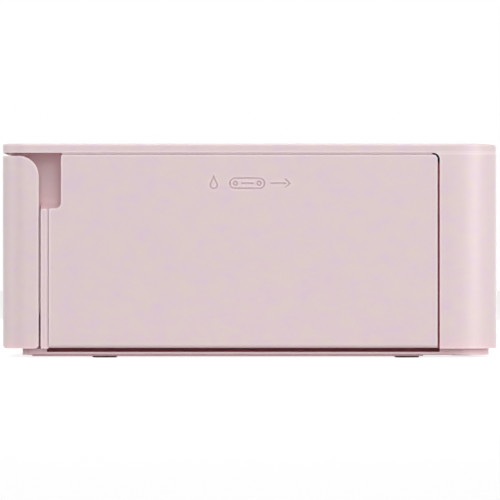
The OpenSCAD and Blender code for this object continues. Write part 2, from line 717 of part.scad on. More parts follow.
module paper_cover() color(pink) {
    side = [[front_y, flap_bottom], [flap_back, flap_top]];
    difference() {
        union() {
            intersection() {
                translate([0, 0, flap_bottom]) linear_extrude(flap_top - flap_bottom) difference() {
                    plan_outline();
                    plan_outline(flap_wall);
                }
                along_x([-half_w - 1, half_w + 1]) union() {
                    translate([side[0][0], side[0][1] + 1])
                        square([flap_side_d - flap_corner_r, flap_top - flap_bottom - 1]);
                    translate([side[0][0] + 1, side[0][1]])
                        square([flap_side_d - 2, flap_top - flap_bottom - flap_corner_r]);
                    translate([side[0][0] + 1, side[0][1] + 1])
                        square([flap_side_d - 1, flap_top - flap_bottom - flap_corner_r - 1]);
                    translate([side[0][0] + 1, side[0][1] + 1]) circle(1);
                    translate([side[1][0] - 1, side[0][1] + 1]) circle(1);
                    translate([side[1][0] - flap_corner_r, side[1][1] - flap_corner_r])
                        circle(flap_corner_r);
                }
            }
            // Ears for the hinge pins
            for (s = [-1, 1]) scale([s, 1, 1]) {
                ear = [flap_ear_x, flap_ear_x + flap_ear_t];
                rod_x([flap_axis_y, flap_axis_z], flap_ear_r, ear);
                box(ear, [front_y + flap_wall - 0.2, flap_axis_y],
                    [flap_axis_z - flap_ear_r, flap_axis_z + flap_ear_r]);
            }
            // Stiffening ribs on the inner face
            for (x = [-60, -20, 20, 60])
                box([x - 0.5, x + 0.5], [front_y + flap_wall - 0.2, front_y + flap_wall + 1.3],
                    [flap_bottom + 6, flap_top - 6]);
        }
        for (s = [-1, 1]) scale([s, 1, 1])
            rod_x([flap_axis_y, flap_axis_z], flap_bore_r, [flap_ear_x - 1, flap_ear_x + flap_ear_t + 1]);
    }
}

module flap_hinge_pins() color(steel)
    for (s = [-1, 1]) scale([s, 1, 1])
        rod_x([flap_axis_y, flap_axis_z], flap_pin_r, [lug_x[0] + 0.6, flap_ear_x + flap_ear_t - 0.2]);

// ---------- Ink door ----------

// Outline of the door in [y, z], with the finger notch at its upper front corner
module door_outline() {
    step_y = door_front + notch_w;
    round_rect([step_y, door_back], [door_bottom + 3, door_top], 0.6);
    translate([step_y, door_bottom]) square([door_back - step_y, 6]);
    round_rect([door_front, door_back - 3], [door_bottom + 3, notch_z], 0.5);
    translate([door_front, door_bottom]) square([door_back - door_front, 6]);
    // Inner corner fillet of the notch
    difference() {
        translate([step_y - notch_r, notch_z - 0.01]) square([notch_r + 0.3, notch_r]);
        translate([step_y - notch_r, notch_z + notch_r]) circle(notch_r);
    }
}

module ink_door() color(pink) {
    bore_len = knuckle_len - 1;
    difference() {
        union() {
            along_x([door_in_x, half_w]) difference() {
                door_outline();
                // Larger rounding of the upper rear corner
                difference() {
                    translate([door_back - door_corner_r, door_top - door_corner_r])
                        square(door_corner_r + 1);
                    translate([door_back - door_corner_r, door_top - door_corner_r])
                        circle(door_corner_r);
                }
            }
            for (y = [[door_front, door_front + knuckle_len], [door_back - knuckle_len, door_back]])
                rod_y([door_in_x, door_axis_z], knuckle_r, y);
            // Stiffening ribs inside
            for (y = [-30, 0, 30])
                box([door_in_x - 1, door_in_x + 0.5], [y - 0.6, y + 0.6], [12, 50]);
        }
        // Rounded lower edge, which swings over the plinth
        difference() {
            along_y([door_front - 1, door_back + 1])
                translate([half_w - door_edge_r, door_bottom - 1]) square([2, 1 + door_edge_r]);
            rod_y([half_w - door_edge_r, door_bottom + door_edge_r], door_edge_r,
                  [door_front - 2, door_back + 2]);
        }
        for (y = [[door_front - 1, door_front + bore_len], [door_back - bore_len, door_back + 1]])
            rod_y([door_in_x, door_axis_z], door_pin_r + slip, y);
    }
}

module door_hinge_pins() color(steel) {
    rod_y([door_in_x, door_axis_z], door_pin_r, [post_front + 0.5, door_front + knuckle_len - 1.2]);
    rod_y([door_in_x, door_axis_z], door_pin_r,
          [door_back - knuckle_len + 1.2, door_rear_gap_end + wall + 2.7]);
}

// Profile of the ink cassette's end in [y, z], grown by a clearance
module cassette_profile(grow) {
    for (c = [supply, takeup]) translate(c) circle(spool_tube_r + grow);
    translate([supply[0], takeup[1] - 5 - grow]) square([takeup[0] - supply[0], 10 + 2 * grow]);
}

module ink_bay_frame() color(dark_plastic) {
    difference() {
        union() {
            along_x([bay_x - bay_t, bay_x])
                translate([post_back + 0.4, base_top + 0.1])
                    square([door_rear_gap_end - post_back - 0.8, slab_z - base_top - 0.4]);
            // Collar that guides the cassette to the side frame
            along_x([frame_x + sheet_t + seat, bay_x - bay_t + 0.1]) difference() {
                cassette_profile(cassette_gap + 1.4);
                cassette_profile(cassette_gap);
            }
        }
        along_x([bay_x - bay_t - 1, bay_x + 1]) cassette_profile(cassette_gap);
        // Room for the scoop block, the door's knuckles and the lever
        box([bay_x - bay_t - 1, bay_x + 1], [post_back - 1, door_front + notch_w + scoop_behind + wall + 0.3],
            [scoop_low_z - 4.3, body_h]);
        along_x([bay_x - bay_t - 1, bay_x + 1])
            round_rect([lever_y - 2.3, lever_y + 2.3], [lever_z[0] - 3, lever_z[1] + 3], 1);
    }
}

lever_y = engine_y - 24;
lever_z = [22, 34];

// Sliding lever that pushes the ink cassette out
module eject_lever() color(white_plastic) {
    box([bay_x - bay_t - 2, bay_x + 2.4], [lever_y - 1.9, lever_y + 1.9], [lever_z[0], lever_z[0] + 6]);
    box([bay_x - bay_t - 2, bay_x - bay_t - 0.3], [lever_y - 4, lever_y + 4],
        [lever_z[0] - 1, lever_z[0] + 9]);
    box([bay_x + 0.3, bay_x + 2.4], [lever_y - 3.2, lever_y + 3.2], [lever_z[0], lever_z[0] + 6]);
}

// ---------- Engine frames ----------

module frame_plate(s) {
    x = s > 0 ? [frame_x, frame_x + sheet_t] : [-frame_x - sheet_t, -frame_x];
    flange = s > 0 ? [frame_x, frame_x + sheet_t + flange_w] : [-frame_x - sheet_t - flange_w, -frame_x];
    difference() {
        union() {
            along_x(x) difference() {
                round_rect(frame_y, [base_top, frame_top], 2);
                translate([frame_y[0] - 1, frame_step[1]])
                    square([frame_step[0] + 1, frame_top - frame_step[1] + 1]);
            }
            for (y = frame_screw_y)
                box(flange, [y - 5, y + 5], [base_top, base_top + sheet_t]);
        }
        for (y = frame_screw_y) rod_z([s * frame_screw_x, y], screw_r + slip, [0, base_top + 5]);
        for (c = [platen, capstan, pinch, pickup])
            rod_x(c, (c == pinch ? pinch_bush_r : bush_r) + slip, [x[0] - 1, x[1] + 1]);
        rod_x(head_pivot, pivot_r, [x[0] - 1, x[1] + 1]);
    }
}

pinch_shaft_r = 1.2;
pivot_r = 1.5;

module left_side_frame() color(steel) {
    difference() {
        frame_plate(-1);
        rod_x(takeup, dog_r + 1, [-frame_x - 5, -frame_x + 5]);
    }
    // Stub that carries the feed idler, and hub that the supply spool turns on
    rod_x(idler, gear_pin_r, [gear1[0] - 0.4, -frame_x]);
    rod_x(supply, dog_r - 1, [-frame_x - sheet_t, spool_left + 2]);
    rod_x(supply, dog_r, [-frame_x - 0.1, cassette_left - 0.3]);
}

module right_side_frame() color(steel)
    difference() {
        frame_plate(1);
        along_x([frame_x - 5, frame_x + 5]) cassette_profile(cassette_gap);
    }

module head_pivot_shaft() color(steel)
    rod_x(head_pivot, pivot_r, [-frame_x - sheet_t - 0.6, frame_x + sheet_t + 0.6]);

module roller_bushes() color([0.75, 0.6, 0.3])
    for (s = [-1, 1]) scale([s, 1, 1]) for (c = [platen, capstan, pickup, pinch]) {
        inner = (c == pinch ? pinch_shaft_r : shaft_r);
        outer = (c == pinch ? pinch_bush_r : bush_r);
        difference() {
            union() {
                rod_x(c, outer, [frame_x - bush_flange_t, frame_x + sheet_t]);
                if (c != pinch) rod_x(c, bush_flange_r, [frame_x - bush_flange_t, frame_x - slip]);
            }
            rod_x(c, inner + bush_gap, [frame_x - 5, frame_x + 5]);
        }
    }

// ---------- Print head ----------

arm_z = 48.6;
arm_t = 0.8;
head_half = 50;

module head_arm() color(steel) {
    ear = [head_half - 2, head_half - 0.8];
    difference() {
        union() {
            box([-head_half, head_half], [head_y - 6, head_pivot[0] + 2.5], [arm_z, arm_z + arm_t]);
            for (s = [-1, 1]) scale([s, 1, 1]) {
                rod_x(head_pivot, 3.4, [ear[0], ear[1]]);
                box(ear, [head_pivot[0] - 3.4, head_pivot[0] + 2.5], [head_pivot[1], arm_z + 0.1]);
            }
        }
        rod_x(head_pivot, pivot_r + bush_gap, [-head_half - 5, head_half + 5]);
        // Lightening windows over the take-up tube
        for (x = [-38 : 19 : 38]) box([x - 7, x + 7], [takeup_y - 8, takeup_y + 7], [arm_z - 1, arm_z + 2]);
    }
}

module head_heatsink() color([0.8, 0.81, 0.82]) {
    base_z = 31;
    difference() {
        box([-head_half, head_half], [head_y - 5.5, head_y + 4], [base_z, arm_z]);
        // Fins: grooves along the head, cut from the front face
        for (z = [base_z + 3.4 : 2.4 : arm_z - 3])
            box([-head_half - 1, head_half + 1], [head_y - 6, head_y - 1.5], [z, z + 1.2]);
    }
}

module thermal_head() color([0.9, 0.9, 0.86])
    along_x([-head_half, head_half])
        polygon([[head_y - 4, 31], [head_y - 4, 28], [head_y - 1.2, path_z + 1.6],
                 [head_y + 1.2, path_z + 1.6], [head_y + 3.4, 28.6], [head_y + 3.4, 31]]);

// ---------- Rollers ----------

module roller_shaft(at, r, left) { rod_x(at, r, [left, frame_x + sheet_t + 0.6]); }

module platen_shaft() color(steel) roller_shaft(platen, shaft_r, -frame_x - sheet_t - 0.6);

module platen_rubber() color(rubber) difference() {
    rod_x(platen, platen_r, [-roller_len / 2, roller_len / 2]);
    rod_x(platen, shaft_r, [-roller_len, roller_len]);
}

module capstan_roller() color(steel) {
    roller_shaft(capstan, shaft_r, gear1[0] + 0.2);
    rod_x(capstan, capstan_r, [-roller_len / 2, roller_len / 2]);
}

module pinch_roller() color([0.5, 0.5, 0.52]) {
    rod_x(pinch, pinch_shaft_r, [-frame_x - sheet_t, frame_x + sheet_t]);
    rod_x(pinch, pinch_r, [-roller_len / 2, roller_len / 2]);
}

module pickup_shaft() color(steel) roller_shaft(pickup, shaft_r, gear1[0] + 0.2);

module pickup_tyres() color(rubber)
    for (s = [-1, 1]) difference() {
        rod_x(pickup, pickup_r, [s * 16 - 7, s * 16 + 7]);
        rod_x(pickup, shaft_r, [s * 16 - 8, s * 16 + 8]);
    }

// ---------- Gears and motor ----------

gear_pin_r = 1.2;

module capstan_gear() color(white_plastic)
    spur_gear(capstan, capstan_teeth, capstan_phase, gear1, shaft_r);

module pickup_gear() color(white_plastic)
    spur_gear(pickup, pickup_teeth, pickup_phase, gear1, shaft_r);

module takeup_gear() color(white_plastic) {
    spur_gear(takeup, takeup_teeth, takeup_phase, gear1, dog_r - 1);
    rod_x(takeup, dog_r - 1, [gear1[0] + 0.5, spool_left + 2]);
}

module feed_idler_gear() color(white_plastic)
    spur_gear(idler, idler_teeth, idler_phase, gear1, gear_pin_r + bush_gap);

module reduction_gear() color(white_plastic) {
    spur_gear(reduction, reduction_large_teeth, reduction_large_phase, gear2, gear_pin_r + bush_gap);
    spur_gear(reduction, reduction_small_teeth, reduction_small_phase,
              [gear2[1] - 0.1, gear1[1]], gear_pin_r + bush_gap);
}

motor_shaft_r = 1;

module motor_pinion() color([0.75, 0.6, 0.3]) {
    spur_gear(pinion, pinion_teeth, pinion_phase, gear2, motor_shaft_r);
    rod_x(pinion, motor_shaft_r, [gear_plate_x - 2, gear2[1]]);
}

plate_y = [engine_y - 14, engine_y + 31];
plate_z = [4, 40];
standoffs = [[plate_y[0] + 3.5, 8], [plate_y[1] - 4, 7], [plate_y[1] - 12, 36.6], [plate_y[0] + 11, 37.4]];

module gear_plate() color(steel) {
    difference() {
        union() {
            along_x([gear_plate_x, gear_plate_x + plate_t]) round_rect(plate_y, plate_z, 3);
            for (at = standoffs) rod_x(at, 1.6, [gear_plate_x + 0.1, -frame_x - sheet_t]);
            // Fixed pin that carries the reduction gear
            rod_x(reduction, gear_pin_r, [gear_plate_x, -frame_x - sheet_t]);
        }
        rod_x(pinion, 3, [gear_plate_x - 1, gear_plate_x + plate_t + 1]);
    }
}

module main_motor() color([0.55, 0.56, 0.58]) {
    can = [gear_plate_x - motor_len, gear_plate_x];
    difference() {
        union() {
            rod_x(pinion, motor_r, can);
            along_x([gear_plate_x - 1, gear_plate_x]) motor_flange();
        }
        rod_x(pinion, motor_shaft_r + 0.4, [gear_plate_x - 4, gear_plate_x + 1]);
    }
    // Terminal block
    box([can[0] + 3, can[0] + 9], [pinion[0] - 4, pinion[0] + 4],
        [pinion[1] + motor_r - 1, pinion[1] + motor_r + 2]);
}

// Flange of the motor with an ear at each side
module motor_flange() {
    translate(pinion) {
        square([2 * motor_r + 5, 6], center = true);
        for (s = [-1, 1]) translate([s * (motor_r + 2.5), 0]) circle(3);
    }
}

// ---------- Ink cassette ----------

module cassette_tube(at, slot_angle) {
    x = [cassette_left, cassette_right];
    difference() {
        rod_x(at, spool_tube_r, x);
        rod_x(at, spool_tube_r - tube_wall, [x[0] + cassette_end_t, x[1] - cassette_end_t]);
        // Slot that lets the ribbon out
        translate([0, at[0], at[1]]) rotate([slot_angle, 0, 0])
            box([-roll_half - 3, roll_half + 3], [4, spool_tube_r + 2], [-1.6, 1.6]);
        rod_x(at, dog_r + 0.6, [x[0] - 1, x[0] + 3]);
    }
    // Journal for the spool's right end
    rod_x(at, spool_pin_r, [x[1] - cassette_end_t - 4, x[1] - 0.5]);
}

module ink_cassette_shell() color([0.22, 0.22, 0.24]) {
    cassette_tube(supply, -38);
    cassette_tube(takeup, 205);
    web_y = [supply[0] + spool_tube_r - 1, takeup[0] - spool_tube_r + 1];
    box([head_half + 4, cassette_right], web_y, [takeup[1] - 4, takeup[1] + 4]);
    box([cassette_left, cassette_left + 1.4], [web_y[0] - 4, web_y[1] + 4], [takeup[1] - 8, takeup[1] - 5]);
    // Finger grip
    box([cassette_right - 1, cassette_right + 6], [head_y - 1, head_y + 1], [takeup[1] - 4, takeup[1] + 4]);
    box([cassette_right + 5, cassette_right + 6.4], [head_y - 5, head_y + 5], [takeup[1] - 4, takeup[1] + 4]);
}

module spool(at) {
    inner_right = cassette_right - cassette_end_t;
    difference() {
        union() {
            rod_x(at, core_r, [spool_left, inner_right - run_gap]);
            for (s = [-1, 1]) scale([s, 1, 1])
                rod_x(at, spool_tube_r - tube_wall - 0.5, [roll_half + 0.2, roll_half + 1.2]);
        }
        rod_x(at, spool_pin_r + bush_gap, [inner_right - 5, inner_right + 1]);
        rod_x(at, dog_r - 1 + slip, [spool_left - 1, spool_left + 2.5]);
    }
}

module roll(at, r) difference() {
    rod_x(at, r, [-roll_half, roll_half]);
    rod_x(at, core_r, [-roll_half - 1, roll_half + 1]);
}

module supply_spool() color(white_plastic) spool(supply);
module takeup_spool() color(white_plastic) spool(takeup);
module supply_roll() color([0.65, 0.55, 0.12]) roll(supply, supply_roll_r);
module takeup_roll() color([0.35, 0.12, 0.3]) roll(takeup, takeup_roll_r);

// Free ribbon from tube to tube, under the print head
module ink_ribbon() color([0.7, 0.6, 0.15])
    along_x([-roll_half, roll_half]) {
        a = supply + polar(spool_tube_r - 0.6, -38);
        b = [head_y - 2, path_z + 1];
        c = [head_y + 2.4, path_z + 1];
        d = takeup + polar(spool_tube_r - 0.6, 205);
        up = [0, ribbon_t];
        polygon([a, b, c, d, d + [-0.1, ribbon_t], c + up - [0.1, 0], b + up, a + up]);
    }

// ---------- Paper path ----------

module paper_bay() color(dark_plastic) {
    x = slot_half_w + 0.6;
    t = 1.2;
    y = [nose_front + panel_t + 0.2, engine_y - 13];
    difference() {
        box([-x - t, x + t], y, [base_top + 0.5, 31]);
        box([-x, x], [y[0] - 1, y[1] - t], [slot_low_z - 0.3, 40]);
        // Notches for the pickup shaft, and the way out for the sheet
        box([-x - 5, x + 5], [pickup[0] - 4, y[1] + 1], [pickup[1] - 8, 40]);
    }
    box([-x, x], [y[1] - 12, y[1]], [base_top, base_top + 1]);
}

module rear_paper_guide() color(dark_plastic) {
    x = roller_len / 2;
    z = path_z - 0.6;
    box([-x, x], [capstan[0] + capstan_r + 1, rear_y - wall - 0.2], [z - 1.2, z]);
    for (s = [-1, 1]) box(s > 0 ? [x - 1, frame_x] : [-frame_x, 1 - x],
                          [capstan[0] + 12, frame_y[1] - 2], [z - 1.2, z]);
}

// ---------- Boards and sockets ----------

module main_board() color(board_green) {
    top = main_board_z + board_t;
    translate([0, 0, main_board_z]) linear_extrude(board_t)
        round_rect([-board_x, board_x], main_board_y, 1);
    // Processor, memory and capacitors
    box([-6, 8], [engine_y + 22, engine_y + 36], [top - 0.1, top + 1.4]);
    box([16, 26], [engine_y + 24, engine_y + 34], [top - 0.1, top + 1.2]);
    for (x = [32, 38, 44]) rod_z([x, engine_y + 44], 2.2, [top - 0.1, top + 4]);
}

module dc_jack() color([0.07, 0.07, 0.07]) {
    top = main_board_z + board_t;
    back = rear_y - wall - 0.2;
    difference() {
        union() {
            box([jack_x - 4.5, jack_x + 4.5], [back - 13, back - 0.1], [top, jack_z + 4.5]);
            rod_y([jack_x, jack_z], 3.8, [back - 1, rear_y - 0.6]);
        }
        rod_y([jack_x, jack_z], 2.8, [back - 9, rear_y + 1]);
    }
    rod_y([jack_x, jack_z], 0.8, [back - 10, rear_y - 2]);
}

module usb_c_port() color(steel) {
    z = usb_c_z;
    mid_z = (z[0] + z[1]) / 2;
    y = [rear_y - wall - 8, rear_y - 0.8];
    difference() {
        along_y(y) round_rect([usb_c_x - 4.5, usb_c_x + 4.5], [z[0], z[1]], 1.5);
        along_y([y[0] + 1, y[1] + 1])
            round_rect([usb_c_x - 4.2, usb_c_x + 4.2], [z[0] + 0.3, z[1] - 0.3], 1.2);
    }
    box([usb_c_x - 3.3, usb_c_x + 3.3], [y[0] + 0.5, y[1] - 1], [mid_z - 0.35, mid_z + 0.35]);
}

module port_board() color(board_green) {
    translate([0, 0, port_board_z]) linear_extrude(board_t)
        round_rect([port_board_x, port_board_x + port_board_w], [usb_a_y - 18, usb_a_y + 20.5], 1);
    translate([0, 0, card_board_z]) linear_extrude(board_t)
        round_rect([card_board_x, card_board_x + card_board_w], [card_y - 16, card_y + 16], 1);
    // Spacer rail between the two boards
    box([port_post_x, port_post_x + 3], [usb_a_y + 11, usb_a_y + 14],
        [port_board_z + board_t - 0.1, card_board_z + 0.1]);
}

module usb_a_port() color(steel) {
    z = [port_board_z + board_t, port_board_z + board_t + 5.6];
    x = [0.8 - half_w, 0.8 - half_w + 14];
    difference() {
        box(x, [usb_a_y - 6.55, usb_a_y + 6.55], z);
        box([x[0] - 1, x[1] - 1], [usb_a_y - 6.2, usb_a_y + 6.2], [z[0] + 0.35, z[1] - 0.35]);
    }
    box([x[0] + 1.5, x[1] - 0.5], [usb_a_y - 5.6, usb_a_y + 5.6], [z[0] + 2.9, z[1] - 0.7]);
}

module card_slot() color([0.6, 0.61, 0.63]) {
    z = [card_board_z + board_t, card_board_z + board_t + 3.2];
    x = [wall + 0.4 - half_w, card_board_x + card_board_w];
    difference() {
        box(x, [card_y - 13.6, card_y + 13.6], z);
        box([x[0] - 1, x[1] - 1], [card_y - 12.2, card_y + 12.2], [z[0] + 0.5, z[0] + 2.8]);
    }
}

// Flat cable between the control board and the port board
module display_cable() color([0.9, 0.9, 0.88]) {
    y = usb_a_y + 19;
    t = 0.3;
    z = [port_board_z + board_t, control_bottom];
    box([port_post_x - 7, port_post_x], [y, y + t], z);
    box([port_post_x - 7, control_x[0] + 4], [control_half_d - 4, y + t], [z[1] - t, z[1]]);
}

// ---------- Screws ----------

module case_screws() color(steel)
    for (at = case_screw_pos) difference() {
        union() {
            rod_z(at, screw_head_r, [foot_h + 0.1, foot_h + screw_head_t]);
            rod_z(at, screw_r, [foot_h + 0.2, case_screw_top - 0.3]);
        }
        translate([at[0], at[1], foot_h]) for (a = [0, 90]) rotate(a)
            cube([0.6, 2.8, 1.2], center = true);
    }

module frame_screws() color(steel)
    for (s = [-1, 1], y = frame_screw_y) difference() {
        union() {
            rod_z([s * frame_screw_x, y], screw_r, [foot_h + 0.8, base_top + sheet_t + 0.5]);
            rod_z([s * frame_screw_x, y], 2.2, [base_top + sheet_t, base_top + sheet_t + 1.4]);
        }
        translate([s * frame_screw_x, y, base_top + sheet_t + 1.4]) for (a = [0, 90]) rotate(a)
            cube([0.6, 2.6, 1.2], center = true);
    }

// ---------- Nodes ----------

base_tray();
rubber_feet();
main_housing();
top_cover();
paper_cover();
ink_door();
ink_bay_frame();
door_hinge_pins();
flap_hinge_pins();
screen_window();
lcd_module();
control_board();
power_button();
back_button();
menu_button();
print_button();
ok_button();
up_key();
down_key();
left_key();
right_key();
left_side_frame();
right_side_frame();
head_pivot_shaft();
head_arm();
head_heatsink();
thermal_head();
platen_shaft();
platen_rubber();
capstan_roller();
pinch_roller();
pickup_shaft();
pickup_tyres();
roller_bushes();
capstan_gear();
reduction_gear();
motor_pinion();
feed_idler_gear();
pickup_gear();
takeup_gear();
gear_plate();
main_motor();
ink_cassette_shell();
supply_spool();
supply_roll();
takeup_spool();
takeup_roll();
ink_ribbon();
eject_lever();
paper_bay();
rear_paper_guide();
main_board();
dc_jack();
usb_c_port();
port_board();
usb_a_port();
card_slot();
display_cable();
case_screws();
frame_screws();
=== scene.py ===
"""Looks of a compact photo printer: its finishes, rounded edges and fine detail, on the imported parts.

Metres, +Z up. The front is at -Y and the ink door is on the +X side.
"""

import json
import math

import bmesh
import bpy
from mathutils import Matrix, Vector

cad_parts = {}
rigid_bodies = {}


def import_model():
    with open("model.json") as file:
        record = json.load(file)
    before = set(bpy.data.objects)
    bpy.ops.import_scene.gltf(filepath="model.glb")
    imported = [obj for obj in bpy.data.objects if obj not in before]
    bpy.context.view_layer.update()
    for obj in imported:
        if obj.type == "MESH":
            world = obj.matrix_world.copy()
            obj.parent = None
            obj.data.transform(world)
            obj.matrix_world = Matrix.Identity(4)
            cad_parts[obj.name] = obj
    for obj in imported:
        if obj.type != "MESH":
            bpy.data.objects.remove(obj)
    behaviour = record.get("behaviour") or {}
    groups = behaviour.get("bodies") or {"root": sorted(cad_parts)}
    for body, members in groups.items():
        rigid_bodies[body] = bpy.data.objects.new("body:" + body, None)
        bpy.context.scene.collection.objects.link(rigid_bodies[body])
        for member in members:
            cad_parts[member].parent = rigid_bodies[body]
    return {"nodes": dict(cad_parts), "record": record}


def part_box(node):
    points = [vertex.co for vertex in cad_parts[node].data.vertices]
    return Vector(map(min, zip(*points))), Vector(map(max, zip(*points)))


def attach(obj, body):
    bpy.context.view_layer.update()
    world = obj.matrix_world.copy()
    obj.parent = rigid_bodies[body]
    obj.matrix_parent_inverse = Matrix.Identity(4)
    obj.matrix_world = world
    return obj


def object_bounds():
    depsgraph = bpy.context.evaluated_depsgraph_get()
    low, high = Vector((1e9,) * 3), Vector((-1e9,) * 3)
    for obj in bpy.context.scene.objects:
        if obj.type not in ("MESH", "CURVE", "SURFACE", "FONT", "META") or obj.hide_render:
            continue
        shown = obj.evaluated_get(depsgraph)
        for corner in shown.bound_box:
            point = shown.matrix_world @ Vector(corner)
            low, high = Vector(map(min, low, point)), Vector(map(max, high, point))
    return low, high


MM = 0.001

# The photograph: a square frame that looks along -X at the printer's side
PHOTO_PX = 500
PX_PER_MM = 3.722
FLOOR_ROW = 357.9       # picture row of the surface that the printer stands on
LENS_MM = 1000          # a long lens, since the photograph shows no perspective
SENSOR_MM = 36

# The start-up file's own objects go first
for leftover in list(bpy.data.objects):
    bpy.data.objects.remove(leftover)
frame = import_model()
CAD_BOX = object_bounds()
NODES = frame["nodes"]
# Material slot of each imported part
SLOT_OF = {part["node"]: part["material_slot"] for part in frame["record"]["subparts"]}


# ---------- Camera, light and surroundings ----------


def make_camera():
    """Camera at the photograph's angle. At the printer's side, its frame is as wide as the photograph."""
    side_x = CAD_BOX[1].x
    distance = PHOTO_PX / PX_PER_MM * MM * LENS_MM / SENSOR_MM
    height = (FLOOR_ROW - PHOTO_PX / 2) / PX_PER_MM * MM
    data = bpy.data.cameras.new("camera")
    data.lens = LENS_MM
    data.sensor_width = SENSOR_MM
    data.clip_start = 0.1
    data.clip_end = 20
    camera = bpy.data.objects.new("camera", data)
    camera.location = (side_x + distance, 0, height)
    camera.rotation_euler = (math.pi / 2, 0, math.pi / 2)
    bpy.context.scene.collection.objects.link(camera)
    bpy.context.scene.camera = camera


def soft_box(name, direction, distance, size, level):
    """Square area lamp that points at the printer, with its distance and size in metres.

    A matt white face that is turned to it gains that level of light.
    """
    data = bpy.data.lights.new(name, "AREA")
    data.shape = "SQUARE"
    data.size = size
    data.energy = level * (math.pi * distance) ** 2
    lamp = bpy.data.objects.new(name, data)
    centre = (CAD_BOX[0] + CAD_BOX[1]) / 2
    toward = Vector(direction).normalized()
    lamp.location = centre + toward * distance
    lamp.rotation_euler = toward.to_track_quat("Z", "Y").to_euler()
    bpy.context.scene.collection.objects.link(lamp)


def seen_directly(tree):
    """Value that is 1 for what is seen straight, mirrored or through glass, and 0 for light."""
    path = tree.nodes.new("ShaderNodeLightPath")
    total = path.outputs["Is Camera Ray"]
    for kind in ("Is Glossy Ray", "Is Transmission Ray"):
        largest = tree.nodes.new("ShaderNodeMath")
        largest.operation = "MAXIMUM"
        tree.links.new(total, largest.inputs[0])
        tree.links.new(path.outputs[kind], largest.inputs[1])
        total = largest.outputs[0]
    return total


def make_world(level):
    """World that lights evenly at a level, and shows as plain white."""
    world = bpy.data.worlds.new("world")
    world.use_nodes = True
    bpy.context.scene.world = world
    tree = world.node_tree
    light = tree.nodes["Background"]
    light.inputs["Color"].default_value = (1, 1, 1, 1)
    light.inputs["Strength"].default_value = level
    white = tree.nodes.new("ShaderNodeBackground")
    white.inputs["Color"].default_value = (1, 1, 1, 1)
    mix = tree.nodes.new("ShaderNodeMixShader")
    tree.links.new(seen_directly(tree), mix.inputs[0])
    tree.links.new(light.outputs[0], mix.inputs[1])
    tree.links.new(white.outputs[0], mix.inputs[2])
    tree.links.new(mix.outputs[0], tree.nodes["World Output"].inputs["Surface"])


def make_floor(side, grey, glow):
    """Pale square floor that keeps the printer's soft shadow and is white elsewhere."""
    bpy.ops.mesh.primitive_plane_add(size=side)
    floor = bpy.context.object
    floor.name = "floor"
    mat = bpy.data.materials.new("floor_white")
    mat.use_nodes = True
    tree = mat.node_tree
    tree.nodes.remove(tree.nodes["Principled BSDF"])
    matt = tree.nodes.new("ShaderNodeBsdfDiffuse")
    matt.inputs["Color"].default_value = (grey, grey, grey, 1)
    light = tree.nodes.new("ShaderNodeEmission")
    strength = tree.nodes.new("ShaderNodeMath")
    strength.operation = "MULTIPLY"
    strength.inputs[1].default_value = glow
    tree.links.new(seen_directly(tree), strength.inputs[0])
    tree.links.new(strength.outputs[0], light.inputs["Strength"])
    both = tree.nodes.new("ShaderNodeAddShader")
    tree.links.new(matt.outputs[0], both.inputs[0])
    tree.links.new(light.outputs[0], both.inputs[1])
    tree.links.new(both.outputs[0], tree.nodes["Material Output"].inputs["Surface"])
    floor.data.materials.append(mat)


def make_studio():
    """Camera, white surroundings and six soft lamps."""
    bpy.context.scene.view_settings.view_transform = "Standard"
    make_camera()
    make_world(0.125)
    make_floor(12, 0.6, 0.80)
    soft_box("lamp_key", (1, 0.15, 0.8), 1.2, 0.9, 0.25)
    soft_box("lamp_top", (0.1, 0, 1), 1.5, 0.6, 0.38)
    soft_box("lamp_rear", (0.5, 1, 0.2), 1.4, 0.7, 0.52)
    soft_box("lamp_front", (0.3, -1, 0.2), 1.5, 1.1, 0.48)
    soft_box("lamp_left", (-1, 0.1, 0.2), 1.8, 1.5, 0.50)
    soft_box("lamp_camera", (1, 0, 0.10), 4.6, 3.4, 0.21)


# ---------- Materials ----------


def srgb(red, green, blue):
    """Linear colour from sRGB values of 0 to 255."""
    linear = [((c / 255 + 0.055) / 1.055) ** 2.4 for c in (red, green, blue)]
    return (*linear, 1.0)


def shaded(colour, factor):
    """The colour made darker or lighter."""
    return (*[c * factor for c in colour[:3]], 1.0)


# Noise lies mostly in this range
NOISE_RANGE = (0.3, 0.7)
GRAIN_DEPTH_MM = 0.004
METAL_MARK_MM = 0.12


